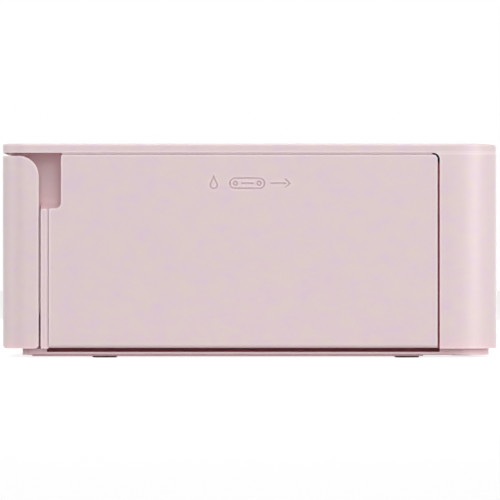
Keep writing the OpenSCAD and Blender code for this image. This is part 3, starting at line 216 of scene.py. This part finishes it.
class Finish:
    """A material in the making: a Principled shader and the textures that feed it."""

    def __init__(self, name, colour, roughness, metallic=0.0, specular=0.5):
        self.mat = bpy.data.materials.new(name)
        self.mat.use_nodes = True
        self.mat.diffuse_color = colour
        self.tree = self.mat.node_tree
        self.shader = self.tree.nodes["Principled BSDF"]
        self.colour = colour
        self.shader.inputs["Base Color"].default_value = colour
        self.shader.inputs["Roughness"].default_value = roughness
        self.shader.inputs["Metallic"].default_value = metallic
        self.shader.inputs["Specular IOR Level"].default_value = specular
        self.place = self.tree.nodes.new("ShaderNodeTexCoord").outputs["Object"]

    def node(self, kind, links=(), **values):
        """New node with its inputs linked or set by name, and its settings by attribute."""
        made = self.tree.nodes.new("ShaderNode" + kind)
        for key, value in values.items():
            if hasattr(made, key):
                setattr(made, key, value)
            else:
                made.inputs[key.replace("_", " ").title()].default_value = value
        for source, socket in links:
            self.tree.links.new(source, made.inputs[socket])
        return made

    def noise(self, size_mm, detail=2.0, stretch=(1, 1, 1)):
        """Noise whose lumps are about that large, drawn out by the stretch."""
        scaled = self.node("Mapping", [(self.place, "Vector")])
        scaled.inputs["Scale"].default_value = [1 / (size_mm * MM * s) for s in stretch]
        made = self.node("TexNoise", [(scaled.outputs[0], "Vector")], scale=1.0, detail=detail)
        return made.outputs["Fac"]

    def spread(self, value, source, target):
        """The value, taken from one range to another."""
        made = self.node("MapRange", [(value, "Value")])
        for socket, number in zip(("From Min", "From Max", "To Min", "To Max"), (*source, *target)):
            made.inputs[socket].default_value = number
        return made.outputs[0]

    def blend(self, factor, other):
        """Blends the colour towards another by a factor of 0 to 1."""
        mix = self.tree.nodes.new("ShaderNodeMix")
        mix.data_type = "RGBA"
        current = self.shader.inputs["Base Color"]
        if current.is_linked:
            self.tree.links.new(current.links[0].from_socket, mix.inputs[6])
        else:
            mix.inputs[6].default_value = self.colour
        mix.inputs[7].default_value = other
        self.tree.links.new(factor, mix.inputs[0])
        self.tree.links.new(mix.outputs[2], current)
        return self

    def tint(self, value, other, share=1.0):
        """Blends the colour towards another where the value is high."""
        return self.blend(self.spread(value, NOISE_RANGE, (0.0, share)), other)

    def nearness(self, reach_mm, inside=False, full=0.0, none=1.0):
        """How shut in a point is, of 0 to 1: in hollows, or inside the piece along its edges. It is the
        mask for painted shade, painted bounce light and painted highlights.

        It is 1 where no more than the full share of the surroundings is open, and 0 from the none share on.
        """
        near = self.node("AmbientOcclusion")
        near.samples = 4
        near.inside = inside
        near.only_local = inside
        near.inputs["Distance"].default_value = reach_mm * MM
        return self.spread(near.outputs["AO"], (full, none), (1, 0))

    def rough(self, value, low, high):
        """Lets a noise value set the roughness, within a range."""
        spread = self.spread(value, NOISE_RANGE, (low, high))
        self.tree.links.new(spread, self.shader.inputs["Roughness"])
        return self

    def bump(self, value, depth_mm, strength):
        """Lets a value set the fine relief."""
        made = self.node("Bump", [(value, "Height")], strength=strength, distance=depth_mm * MM)
        self.tree.links.new(made.outputs[0], self.shader.inputs["Normal"])
        return self


def add_grain(made, grain_mm, roughness):
    """Spark-eroded grain in the relief and in the gloss."""
    grain = made.noise(grain_mm, 3.0)
    made.rough(grain, roughness - 0.05, roughness + 0.05)
    return made.bump(grain, GRAIN_DEPTH_MM, 0.6).mat


def moulded(name, colour, roughness, grain_mm=0.35):
    """Moulded plastic: fine grain, faint cloudy differences of tone and painted highlights as paler edges.
    """
    made = Finish(name, colour, roughness)
    made.tint(made.noise(9.0), shaded(colour, 0.9), 0.8)
    # Painted highlight: a paler colour along the edges
    made.blend(made.nearness(0.4, True, full=0.5), shaded(colour, 1.25))
    return add_grain(made, grain_mm, roughness)


def pink_shell(name, grain_mm=0.35, hollows=1.0):
    """Pink body plastic: cloudy lilac and warm tones, painted bounce light as a lighter, stronger pink in
    hollows, painted shade as a dark wine in narrow gaps, and painted highlights as paler edges.

    A point gets the painted bounce light when less than the hollows' share of its surroundings is open. It
    is less than 1 for a low piece, so that the floor doesn't spread the painted bounce light all over it.
    """
    made = Finish(name, PINK, PINK_ROUGHNESS)
    made.tint(made.noise(5.0), PINK_COOL, 0.9)
    made.tint(made.noise(3.1, stretch=(1, 1.3, 0.8)), PINK_WARM, 0.7)
    # Painted highlight: a paler pink along the edges, where the piece is thin inside
    made.blend(made.nearness(0.8, True, full=0.45), PINK_PAINTED_HIGHLIGHT)
    # Painted bounce light: a lighter, stronger pink in hollows
    made.blend(made.nearness(7.0, none=hollows), PINK_PAINTED_BOUNCE)
    # Painted shade: a dark wine pink in narrow gaps
    made.blend(made.nearness(3.0, none=0.35), PINK_PAINTED_SHADE)
    return add_grain(made, grain_mm, PINK_ROUGHNESS)


def metal(name, colour, roughness, stretch=(30, 1, 1)):
    """Metal with fine marks drawn out in the direction it was rolled, turned or brushed."""
    made = Finish(name, colour, roughness, metallic=1.0)
    marks = made.noise(METAL_MARK_MM, 3.0, stretch)
    made.tint(made.noise(14.0), shaded(colour, 0.86), 0.6)
    made.rough(marks, roughness - 0.08, roughness + 0.12)
    return made.bump(marks, 0.002, 0.5).mat


def rubber(name, colour, roughness=0.75, specular=0.3):
    """Rubber: a dull surface with paler patches and a coarse relief."""
    made = Finish(name, colour, roughness, specular=specular)
    made.tint(made.noise(2.0), shaded(colour, 1.35), 0.6)
    return made.bump(made.noise(0.25, 4.0), 0.02, 0.7).mat


def circuit(name, colour):
    """Solder mask over a net of tracks."""
    made = Finish(name, colour, 0.35)
    tracks = made.node("TexBrick", [(made.place, "Vector")], scale=260.0, mortar_size=0.025)
    tracks.inputs["Color1"].default_value = (0, 0, 0, 1)
    tracks.inputs["Color2"].default_value = (0, 0, 0, 1)
    tracks.inputs["Mortar"].default_value = (1, 1, 1, 1)
    made.tint(tracks.outputs["Color"], shaded(colour, 1.9), 1.0)
    made.tint(made.noise(6.0), shaded(colour, 0.8), 0.5)
    return made.bump(tracks.outputs["Color"], 0.03, 0.5).mat


def glossy(name, colour, roughness=0.08, specular=0.4):
    """Smooth surface with faint smears."""
    made = Finish(name, colour, roughness, specular=specular)
    made.tint(made.noise(15.0), shaded(colour, 1.08), 0.6)
    made.rough(made.noise(9.0, 4.0), roughness, roughness + 0.05)
    return made.mat


PINK_ROUGHNESS = 0.4
PINK = srgb(222, 202, 206)
PINK_COOL = srgb(220, 197, 212)
PINK_WARM = srgb(223, 206, 199)
# Painted highlight along the edges
PINK_PAINTED_HIGHLIGHT = srgb(240, 224, 228)
# Painted bounce light in hollows
PINK_PAINTED_BOUNCE = srgb(255, 206, 213)
# Painted shade in narrow gaps
PINK_PAINTED_SHADE = srgb(120, 30, 42)


def make_materials():
    """One material per material slot of the record, the shell's for its low places, and a painted-shade
    wine pink for deep in its narrow gaps.
    """
    return {
        "shell_pink": pink_shell("shell_pink"),
        "key_plastic": pink_shell("key_plastic", 0.25, 0.8),
        "low_pink": pink_shell("low_pink", hollows=0.45),
        # Painted shade: a wine pink that stands in for the shade deep in the ink door's gaps, made with the
        # rubber finish
        "gap_shade_pink": rubber("gap_shade_pink", srgb(186, 104, 113), 0.9, 0.0),
        "foot_rubber": rubber("foot_rubber", srgb(162, 151, 150)),
        "bay_plastic": moulded("bay_plastic", srgb(64, 60, 62), 0.48),
        "steel": metal("steel", srgb(198, 200, 203), 0.3),
        "screen_glass": glossy("screen_glass", srgb(16, 16, 19)),
        "lcd_metal": metal("lcd_metal", srgb(180, 182, 186), 0.35),
        "circuit_board": circuit("circuit_board", srgb(24, 92, 58)),
        "heatsink_aluminium": metal("heatsink_aluminium", srgb(206, 208, 210), 0.34),
        "head_ceramic": glossy("head_ceramic", srgb(232, 232, 224), 0.2),
        "roller_rubber": rubber("roller_rubber", srgb(44, 44, 46)),
        "roller_grey": moulded("roller_grey", srgb(120, 121, 126), 0.4, 0.2),
        "bush_brass": metal("bush_brass", srgb(205, 165, 98), 0.3, (1, 6, 6)),
        "gear_plastic": moulded("gear_plastic", srgb(228, 227, 220), 0.42, 0.3),
        "motor_steel": metal("motor_steel", srgb(176, 178, 184), 0.36),
        "cassette_plastic": moulded("cassette_plastic", srgb(66, 65, 69), 0.45),
        "ribbon_film": glossy("ribbon_film", srgb(214, 184, 60), 0.15),
        "ribbon_used": glossy("ribbon_used", srgb(120, 52, 106), 0.15),
        "lever_plastic": moulded("lever_plastic", srgb(228, 228, 224), 0.42, 0.3),
        "socket_plastic": moulded("socket_plastic", srgb(34, 34, 36), 0.35, 0.3),
        "cable_film": glossy("cable_film", srgb(226, 225, 214), 0.3),
        "screw_steel": metal("screw_steel", srgb(140, 141, 146), 0.28, (1, 1, 1)),
    }


# ---------- Edges ----------

SMOOTH_UP_TO = math.radians(34)     # a sharper angle between two faces is an edge
FLAT_WITHIN = math.radians(0.6)     # faces that differ by less lie in one plane
SAME_POINT = 1e-6
KEYS = [key + "_button" for key in ("power", "back", "menu", "print", "ok")]
KEYS += [key + "_key" for key in ("up", "down", "left", "right")]
# Radius of the edges of the pieces that show, in millimetres
EDGE_MM = {
    "main_housing": 0.12,
    "top_cover": 0.08,
    "paper_cover": 0.12,
    "ink_door": 0.2,
    "base_tray": 0.3,
    "ink_bay_frame": 0.3,
    "ink_cassette_shell": 0.3,
    "paper_bay": 0.3,
    "eject_lever": 0.35,
    "rubber_feet": 0.25,
    "screen_window": 0.12,
    **dict.fromkeys(KEYS, 0.35),
}
EDGE_OTHERS_MM = 0.1
# Faces with ribs or holes whose triangles stay apart, since joined they would fold over
LEFT_IN_TRIANGLES = ("base_tray", "paper_cover", "eject_lever", "head_arm", "usb_a_port")


def shading_group():
    """Geometry nodes that shade smooth, with a crease wherever two faces meet at a sharp angle."""
    group = bpy.data.node_groups.new("smooth_by_angle", "GeometryNodeTree")
    group.interface.new_socket("Mesh", in_out="INPUT", socket_type="NodeSocketGeometry")
    group.interface.new_socket("Mesh", in_out="OUTPUT", socket_type="NodeSocketGeometry")
    start = group.nodes.new("NodeGroupInput")
    end = group.nodes.new("NodeGroupOutput")
    angle = group.nodes.new("GeometryNodeInputMeshEdgeAngle")
    sharp = group.nodes.new("FunctionNodeCompare")
    sharp.operation = "GREATER_THAN"
    sharp.inputs["B"].default_value = SMOOTH_UP_TO
    group.links.new(angle.outputs["Unsigned Angle"], sharp.inputs["A"])
    normals = group.nodes.new("GeometryNodeSetMeshNormal")
    normals.mode = "SHARPNESS"
    normals.inputs["Remove Custom"].default_value = True
    normals.inputs["Face Sharpness"].default_value = False
    group.links.new(start.outputs[0], normals.inputs["Mesh"])
    group.links.new(sharp.outputs[0], normals.inputs["Edge Sharpness"])
    group.links.new(normals.outputs[0], end.inputs[0])
    return group


def join_faces(obj, flat_faces):
    """Welds the split vertices and, if asked, joins the triangles that lie in one plane."""
    weld = obj.modifiers.new("weld", "WELD")
    weld.merge_threshold = SAME_POINT
    if flat_faces:
        flat = obj.modifiers.new("flat_faces", "DECIMATE")
        flat.decimate_type = "DISSOLVE"
        flat.angle_limit = FLAT_WITHIN


def round_edges(obj, radius_mm):
    """Rounds every sharp edge."""
    bevel = obj.modifiers.new("edges", "BEVEL")
    bevel.width = radius_mm * MM
    bevel.segments = 3
    bevel.limit_method = "ANGLE"
    bevel.angle_limit = SMOOTH_UP_TO
    bevel.miter_outer = "MITER_ARC"


def shade(obj, group):
    """Shades the curved faces smooth and the flat ones flat."""
    nodes = obj.modifiers.new("shading", "NODES")
    nodes.node_group = group
    normals = obj.modifiers.new("normals", "WEIGHTED_NORMAL")
    normals.keep_sharp = True
    normals.weight = 100


# ---------- Marks: strokes and outlines drawn flat, in millimetres ----------

MARK_STEPS = 20
ROUND = (0, 342)        # angles of an arc that a closing line makes a circle
LEAST_SPREAD = 0.4      # keeps the outer corner of a sharp bend from running far out


def arc(centre, radius, start, end, steps=MARK_STEPS):
    """Points along an arc between two angles in degrees."""
    angles = [math.radians(start + (end - start) * k / steps) for k in range(steps + 1)]
    return [(centre[0] + radius * math.cos(a), centre[1] + radius * math.sin(a)) for a in angles]


def stroke(points, width, closed=False):
    """Outline of a line drawn with a pen of that width, as (outer loop, inner loop or None)."""
    count = len(points)
    left, right = [], []
    for k, point in enumerate(points):
        here = Vector(point)
        before = Vector(points[k - 1]) if closed or k else here
        after = Vector(points[(k + 1) % count]) if closed or k < count - 1 else here
        one = (here - before).normalized() if (here - before).length else (after - here).normalized()
        two = (after - here).normalized() if (after - here).length else one
        across = Vector((-(one.y + two.y), one.x + two.x)).normalized()
        reach = width / 2 / max(LEAST_SPREAD, across.dot(Vector((-one.y, one.x))))
        left.append(tuple(here + across * reach))
        right.append(tuple(here - across * reach))
    if closed:
        return left, right
    return left + right[::-1], None


def drop_outline(centre, radius):
    """Drop with a round foot and a point at the top."""
    return arc(centre, radius, -215, 35) + [(centre[0], centre[1] + 2.3 * radius)]


def slot_outline(centre, half, radius):
    """Slot with round ends."""
    x, y = centre
    return arc((x + half, y), radius, -90, 90) + arc((x - half, y), radius, 90, 270)


def plate(name, shapes, thickness_mm, to_world):
    """Mesh of flat shapes with a thickness.

    A shape is (outer loop, inner loop or None), and its loops have as many points as each other.
    """
    bm = bmesh.new()
    for outer, inner in shapes:
        count = len(outer)
        levels = []
        for z in (0.0, thickness_mm):
            rings = [[bm.verts.new((p[0], p[1], z)) for p in loop] for loop in (outer, inner) if loop]
            levels.append(rings)
        low, high = levels
        if inner:
            for k in range(count):
                n = (k + 1) % count
                bm.faces.new((high[0][k], high[0][n], high[1][n], high[1][k]))
                bm.faces.new((low[0][k], low[1][k], low[1][n], low[0][n]))
        else:
            bm.faces.new(high[0])
            bm.faces.new(low[0][::-1])
        for ring in range(len(low)):
            for k in range(count):
                n = (k + 1) % count
                bm.faces.new((low[ring][k], low[ring][n], high[ring][n], high[ring][k]))
    bmesh.ops.scale(bm, vec=(MM, MM, MM), verts=bm.verts)
    bmesh.ops.transform(bm, matrix=to_world, verts=bm.verts)
    bmesh.ops.recalc_face_normals(bm, faces=bm.faces)
    mesh = bpy.data.meshes.new(name)
    bm.to_mesh(mesh)
    bm.free()
    obj = bpy.data.objects.new(name, mesh)
    bpy.context.scene.collection.objects.link(obj)
    return obj


# For each side of the printer, the directions of a drawing's right, of its top and of its face
SIDES = {
    "top": ((1, 0, 0), (0, 1, 0), (0, 0, 1)),
    "right": ((0, 1, 0), (0, 0, 1), (1, 0, 0)),
    "left": ((0, -1, 0), (0, 0, 1), (-1, 0, 0)),
    "front": ((1, 0, 0), (0, 0, 1), (0, -1, 0)),
    "rear": ((-1, 0, 0), (0, 0, 1), (0, 1, 0)),
}


def facing(side, at_mm):
    """Placement of a drawing that faces one way, with its origin at a point in millimetres."""
    turn = Matrix(SIDES[side]).transposed().to_4x4()
    return Matrix.Translation(Vector(at_mm) * MM) @ turn


def moved(shapes, x, y):
    """Shapes moved in their drawing."""
    return [tuple(loop and [(p[0] + x, p[1] + y) for p in loop] for loop in shape) for shape in shapes]


def rectangle(x, y, radius=0.3):
    """Rectangle with round corners, from two ranges."""
    left, right = x[0] + radius, x[1] - radius
    foot, top = y[0] + radius, y[1] - radius
    corners = (((right, top), 0), ((left, top), 90), ((left, foot), 180), ((right, foot), 270))
    return [p for centre, start in corners for p in arc(centre, radius, start, start + 90, 6)]


def disc(centre, radius):
    """Disc with 24 corners."""
    return arc(centre, radius, 0, 345, 23)


def add(piece, material, body):
    """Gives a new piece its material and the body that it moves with."""
    piece.data.materials.append(material)
    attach(piece, body)


def bars(name, boxes, radius_mm=0.2):
    """One mesh of several boxes, each three ranges in millimetres, with rounded edges."""
    bm = bmesh.new()
    for ranges in boxes:
        size = [(high - low) * MM for low, high in ranges]
        centre = [(high + low) / 2 * MM for low, high in ranges]
        place = Matrix.Translation(centre) @ Matrix.Diagonal((*size, 1.0))
        bmesh.ops.create_cube(bm, size=1.0, matrix=place)
    mesh = bpy.data.meshes.new(name)
    bm.to_mesh(mesh)
    bm.free()
    obj = bpy.data.objects.new(name, mesh)
    bpy.context.scene.collection.objects.link(obj)
    round_edges(obj, radius_mm)
    return obj


# ---------- Engraving ----------

ENGRAVED_CENTRE_YZ = (-0.15, 46.9)  # where the photograph shows an engraved line
ENGRAVED_PEN = 0.48
ENGRAVED_DEPTH = 0.34
# The door's signs, from that centre
DROP_AT, DROP_RADIUS = (-9.6, -0.45), 0.95
CASSETTE_AT = -0.6
ARROW_BETWEEN = (5.6, 10.9)


def engrave(node, body, name, shapes, side, at_mm):
    """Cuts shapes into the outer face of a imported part, at a point of that face."""
    inward = -Vector(SIDES[side][2]) * ENGRAVED_DEPTH
    cutter = plate(name, shapes, ENGRAVED_DEPTH + 0.2, facing(side, Vector(at_mm) + inward))
    cutter.hide_render = True
    cutter.hide_viewport = True
    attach(cutter, body)
    cut = NODES[node].modifiers.new(name, "BOOLEAN")
    cut.operation = "DIFFERENCE"
    cut.solver = "EXACT"
    cut.object = cutter


def cassette_sign(x):
    """Pictogram of an ink cassette: its outline, its two spools and the ribbon between them."""
    pen, spool_at, spool_radius, ribbon = ENGRAVED_PEN, 3.2, 0.5, 1.6
    return [
        stroke(slot_outline((x, 0), 3.3, 1.35), pen, closed=True),
        stroke(arc((x - spool_at, 0), spool_radius, *ROUND), pen, closed=True),
        stroke(arc((x + spool_at, 0), spool_radius, *ROUND), pen, closed=True),
        stroke([(x - ribbon, 0), (x + ribbon, 0)], pen),
    ]


def arrow_sign(tail, tip):
    """Arrow along a drawing's right, from one place to another."""
    shaft = stroke([(tail, 0), (tip - 1.0, 0)], ENGRAVED_PEN)
    head = stroke([(tip - 1.4, 1.2), (tip, 0), (tip - 1.4, -1.2)], ENGRAVED_PEN)
    return [shaft, head]


def engrave_door():
    """Plain pictograms cut into the door: a drop, an ink cassette and an arrow."""
    drop = [stroke(drop_outline(DROP_AT, DROP_RADIUS), ENGRAVED_PEN, closed=True)]
    shapes = drop + cassette_sign(CASSETTE_AT) + arrow_sign(*ARROW_BETWEEN)
    face_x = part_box("ink_door")[1].x / MM
    engrave("ink_door", "ink_door", "door_engraving", shapes, "right", (face_x, *ENGRAVED_CENTRE_YZ))


def socket_signs():
    """Outlines of the sockets' signs: direct current, a plug and a memory card."""
    pen = ENGRAVED_PEN
    current = [stroke([(-1.6, 0.5), (1.6, 0.5)], pen)]
    current += [stroke([(x - 0.4, -0.4), (x + 0.4, -0.4)], pen) for x in (-1.2, 0, 1.2)]
    plug = [stroke(rectangle((-1.7, 1.7), (-0.8, 0.8)), pen, closed=True)]
    plug += [stroke([(-0.9, 0), (0.9, 0)], pen)]
    card = [stroke([(-1.3, -1.6), (1.3, -1.6), (1.3, 1.6), (-0.5, 1.6), (-1.3, 0.8)], pen, closed=True)]
    return current, plug, card


def engrave_sockets():
    """Plain pictograms above the sockets on the rear and the left side."""
    current, plug, card = socket_signs()
    for sign, node, above, side, shapes in (
        ("dc", "dc_jack", 6.8, "rear", current),
        ("usb_c", "usb_c_port", 4.2, "rear", plug),
        ("usb_a", "usb_a_port", 6.4, "left", plug),
        ("card", "card_slot", 5.2, "left", card),
    ):
        place = middle(node)
        place.z += above
        if side == "rear":
            place.y = CAD_BOX[1].y / MM
        else:
            place.x = CAD_BOX[0].x / MM
        engrave("main_housing", "chassis", sign + "_engraving", shapes, side, place)


# ---------- Keys and screen ----------

INLAY_MM = 0.03
KEY_PEN = 0.4


def middle(node):
    """Centre of a node's box, in millimetres."""
    low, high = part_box(node)
    return (low + high) / 2 / MM


def key_signs():
    """Outlines of the sign on each key, by node."""
    chevron = [(-1.1, -0.6), (0, 0.6), (1.1, -0.6)]
    quarter = {"up_key": 0, "left_key": 90, "down_key": 180, "right_key": 270}
    signs = {}
    for node, angle in quarter.items():
        c, s = math.cos(math.radians(angle)), math.sin(math.radians(angle))
        signs[node] = [stroke([(x * c - y * s, x * s + y * c) for x, y in chevron], KEY_PEN)]
    signs["power_button"] = [
        stroke(arc((0, 0), 1.4, 120, 420), KEY_PEN),
        stroke([(0, 0.4), (0, 1.9)], KEY_PEN),
    ]
    signs["back_button"] = [
        stroke(arc((0.2, 0), 1.1, -90, 90, 12) + [(-1.5, 1.1)], KEY_PEN),
        stroke([(-0.7, 1.9), (-1.6, 1.1), (-0.7, 0.3)], KEY_PEN),
    ]
    signs["menu_button"] = [stroke([(-1.4, y), (1.4, y)], KEY_PEN) for y in (-1.0, 0, 1.0)]
    signs["ok_button"] = [(arc((0, 0), 1.0, *ROUND, 19), None)]
    signs["print_button"] = [
        stroke(slot_outline((0, 0), 1.9, 1.3), KEY_PEN, closed=True),
        stroke([(-1.0, -0.25), (0, 0.65), (1.0, -0.25)], KEY_PEN),
    ]
    return signs


def add_key_signs(ink):
    """Flat printed signs on the keys, which sink with them."""
    for node, shapes in key_signs().items():
        centre = middle(node)
        centre.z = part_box(node)[1].z / MM - INLAY_MM / 3
        add(plate(node + "_sign", shapes, INLAY_MM, facing("top", centre)), ink, node)


def add_display(dark, light):
    """Active area of the display, seen in the glass, and a small status light beside it."""
    low, high = (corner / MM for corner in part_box("screen_window"))
    top = high.z - INLAY_MM / 3
    left, right, ends = 5, 7, 4
    area = [(rectangle((low.x + left, high.x - right), (low.y + ends, high.y - ends), 0.8), None)]
    add(plate("display_area", area, INLAY_MM, facing("top", (0, 0, top))), dark, "chassis")
    lens = [(disc((high.x - right / 2, low.y + 5), 0.6), None)]
    add(plate("status_light", lens, INLAY_MM, facing("top", (0, 0, top))), light, "chassis")


# ---------- Housing, doors and what they cover ----------

TUBE_END_X = 68.0       # outer end of the ink cassette's spool tubes


def add_rebates(low_pink, gap_shade_pink):
    """Lips that close the gaps round the ink door and over the paper cover, clear of all that moves.

    The light ones lie just inside the side face. The dark ones lie deeper and are painted shade: wine pink
    sheets in the shade far inside the gaps.
    """
    low, high = (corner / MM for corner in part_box("ink_door"))
    flap_low, flap_high = (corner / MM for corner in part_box("paper_cover"))
    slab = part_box("main_housing")[1].z / MM
    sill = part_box("ink_bay_frame")[1].x / MM + 1.02
    inner, outside_pin = 88.5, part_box("door_hinge_pins")[1].x / MM + 0.2
    shallow, deep = high.x - 0.4, high.x - 1.0
    notch, below_pin, at_pin, above_pin = 39.9, (2.5, 3.7), (3.6, 6.2), (6.1, 52.5)
    front, rear = (low.y - 0.5, low.y - 0.05), (high.y + 0.2, high.y + 0.7)
    over_door = [(inner, shallow), (low.y + 3.6, high.y - 1.4), (high.z + 0.06, slab)]
    before_door = [
        [(inner, shallow), front, (above_pin[0], notch)],
        [(outside_pin, shallow), front, at_pin],
        [(inner, shallow), front, below_pin],
    ]
    behind_cover = [
        [(inner, shallow - 0.5), (flap_high.y + 0.14, flap_high.y + 0.6), (12.0, notch - 0.4)],
        [(inner, shallow - 0.5), (flap_high.y + 0.4, flap_high.y + 0.6), (3.0, 12.1)],
    ]
    cover_y = (flap_low.y + 1.6, flap_high.y - 3.2)
    over_cover = [(inner - 2.5, inner - 0.5), cover_y, (flap_high.z + 0.15, slab)]
    behind_door = [
        [(inner, deep), rear, above_pin],
        [(outside_pin, deep), rear, at_pin],
        [(inner, deep), rear, below_pin],
    ]
    under_door = [(sill, sill + 0.5), (front[0], rear[1]), (1.75, low.z - 0.15)]
    light = [over_door, *before_door, *behind_cover, over_cover]
    # Painted shade: wine pink sheets behind the door's rear gap and under its lower edge
    dark = [*behind_door, under_door]
    add(bars("light_rebates", light, 0.04), low_pink, "chassis")
    add(bars("painted_shade_rebates", dark, 0.04), gap_shade_pink, "chassis")


def add_door_catches(pink, soft):
    """Catches along the upper edge of the ink door's inner face, and two soft bumpers."""
    wall, length, reach = 2.5, 4, 1.7
    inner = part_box("ink_door")[1].x / MM - wall
    hooks = []
    for y in (-12.0, 16.0):
        hooks.append([(inner - reach, inner + 0.2), (y, y + length), (52.0, 53.6)])
        hooks.append([(inner - reach, inner - 1.0), (y, y + length), (51.2, 52.4)])
    add(bars("ink_door_catches", hooks), pink, "ink_door")
    pads = [(disc((y, 50.0), 1.5), None) for y in (-40.0, 44.0)]
    place = facing("right", (inner - 0.55, 0, 0))
    add(plate("ink_door_bumpers", pads, 0.6, place), soft, "ink_door")


def add_cover_catches(pink):
    """Catches at the top of the paper cover's inner face."""
    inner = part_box("paper_cover")[0].y / MM + 2.0
    hooks = [[(x - 3, x + 3), (inner - 0.2, inner + 1.2), (50.5, 51.9)] for x in (-72.0, 72.0)]
    add(bars("paper_cover_catches", hooks), pink, "paper_cover")


def add_paper_signs(ink, white):
    """Printed sign for the paper on the panel behind the paper cover, and rails in the paper bay."""
    pen = 0.5
    sheet = [stroke([(-6, -4), (6, -4), (6, 4), (-4, 4), (-6, 2)], pen, closed=True)]
    sheet += [stroke([(x, -8.5), (x, -5.6)], pen) for x in (-2.0, 2.0)]
    sheet += [stroke([(x - 1.1, -6.6), (x, -5.3), (x + 1.1, -6.6)], pen) for x in (-2.0, 2.0)]
    panel_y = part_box("main_housing")[0].y / MM
    place = facing("front", (0, panel_y + 0.01, 44.0))
    add(plate("paper_sign", sheet, INLAY_MM, place), ink, "chassis")
    rails = [[(x - 0.7, x + 0.7), (-57.0, -16.0), (5.0, 5.7)] for x in (-46.0, -22.0, 22.0, 46.0)]
    add(bars("paper_bay_rails", rails), white, "chassis")


def add_bay_sign(white):
    """Printed sign on the ink bay's face: an arrow to an ink cassette."""
    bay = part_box("ink_bay_frame")[1] / MM
    shapes = moved(cassette_sign(0) + arrow_sign(-9, -5), 30.0, bay.z - 4.0)
    place = facing("right", (bay.x - 0.01, 0, 0))
    add(plate("bay_sign", shapes, INLAY_MM, place), white, "chassis")


def add_cassette_marks(white, gold, dots):
    """Grip ribs on the ink cassette's bridge, and colour dots and contacts on the ends of its spool tubes.

    A dot is its name, its material and its slot, which is not used.
    """
    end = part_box("ink_cassette_shell")[1].x / MM
    grip = [[(end - 0.25, end - 0.02), (13.6, 22.4), (z, z + 0.7)] for z in (34.4, 35.9, 37.4, 38.9)]
    add(bars("cassette_grip_ribs", grip, 0.1), white, "chassis")
    place = facing("right", (TUBE_END_X - 0.01, 0, 0))
    for k, (name, colour, slot) in enumerate(dots):
        dot = [(disc((-6.5 + 4.5 * k, 42.4), 1.5), None)]
        add(plate("cassette_dot_" + name, dot, INLAY_MM, place), colour, "chassis")
    pitch, width, count = 2.4, 1.8, 4
    starts = [33.4 + pitch * k for k in range(count)]
    pads = [(rectangle((y, y + width), (43.0, 45.4), 0.2), None) for y in starts]
    add(plate("cassette_contacts", pads, 0.08, place), gold, "chassis")


def add_lever_ribs(white):
    """Ribs for the finger on the eject lever."""
    face_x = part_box("eject_lever")[1].x / MM
    ribs = [[(face_x - 0.05, face_x + 0.3), (-26.6, -21.4), (z, z + 0.5)] for z in (23.0, 24.4, 25.8)]
    add(bars("eject_lever_ribs", ribs, 0.1), white, "eject_lever")


# ---------- Assembly of the scene ----------


def dress_nodes(materials):
    """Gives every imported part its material, rounded edges and shading."""
    group = shading_group()
    own = {
        "base_tray": materials["low_pink"],
        "ink_door": materials["low_pink"],
        "door_hinge_pins": metal("pin_steel", srgb(150, 128, 130), 0.45),
    }
    for name, obj in NODES.items():
        obj.data.materials.clear()
        obj.data.materials.append(own.get(name, materials[SLOT_OF[name]]))
        join_faces(obj, name not in LEFT_IN_TRIANGLES)
        round_edges(obj, EDGE_MM.get(name, EDGE_OTHERS_MM))
        if name == "ink_door":
            engrave_door()
        if name == "main_housing":
            engrave_sockets()
        shade(obj, group)


def add_details(materials):
    """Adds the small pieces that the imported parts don't have."""
    pink = materials["shell_pink"]
    white = moulded("print_white", srgb(226, 226, 222), 0.5)
    dots = (
        ("yellow", moulded("dot_yellow", srgb(232, 205, 60), 0.4), "ribbon_film"),
        ("magenta", moulded("dot_magenta", srgb(200, 60, 130), 0.4), "ribbon_used"),
        ("cyan", moulded("dot_cyan", srgb(60, 160, 205), 0.4), "ribbon_used"),
    )
    add_key_signs(moulded("sign_ink", srgb(132, 112, 118), 0.5))
    add_display(glossy("display_dark", srgb(44, 50, 66), 0.2), glossy("status_green", srgb(96, 190, 120)))
    add_rebates(materials["low_pink"], materials["gap_shade_pink"])
    add_door_catches(pink, materials["foot_rubber"])
    add_cover_catches(pink)
    add_paper_signs(moulded("dark_ink", srgb(86, 76, 82), 0.5), white)
    add_bay_sign(white)
    add_cassette_marks(white, metal("contact_gold", srgb(226, 190, 110), 0.25), dots)
    add_lever_ribs(materials["lever_plastic"])


def main():
    """Builds the studio and dresses the printer."""
    make_studio()
    materials = make_materials()
    dress_nodes(materials)
    add_details(materials)


main()
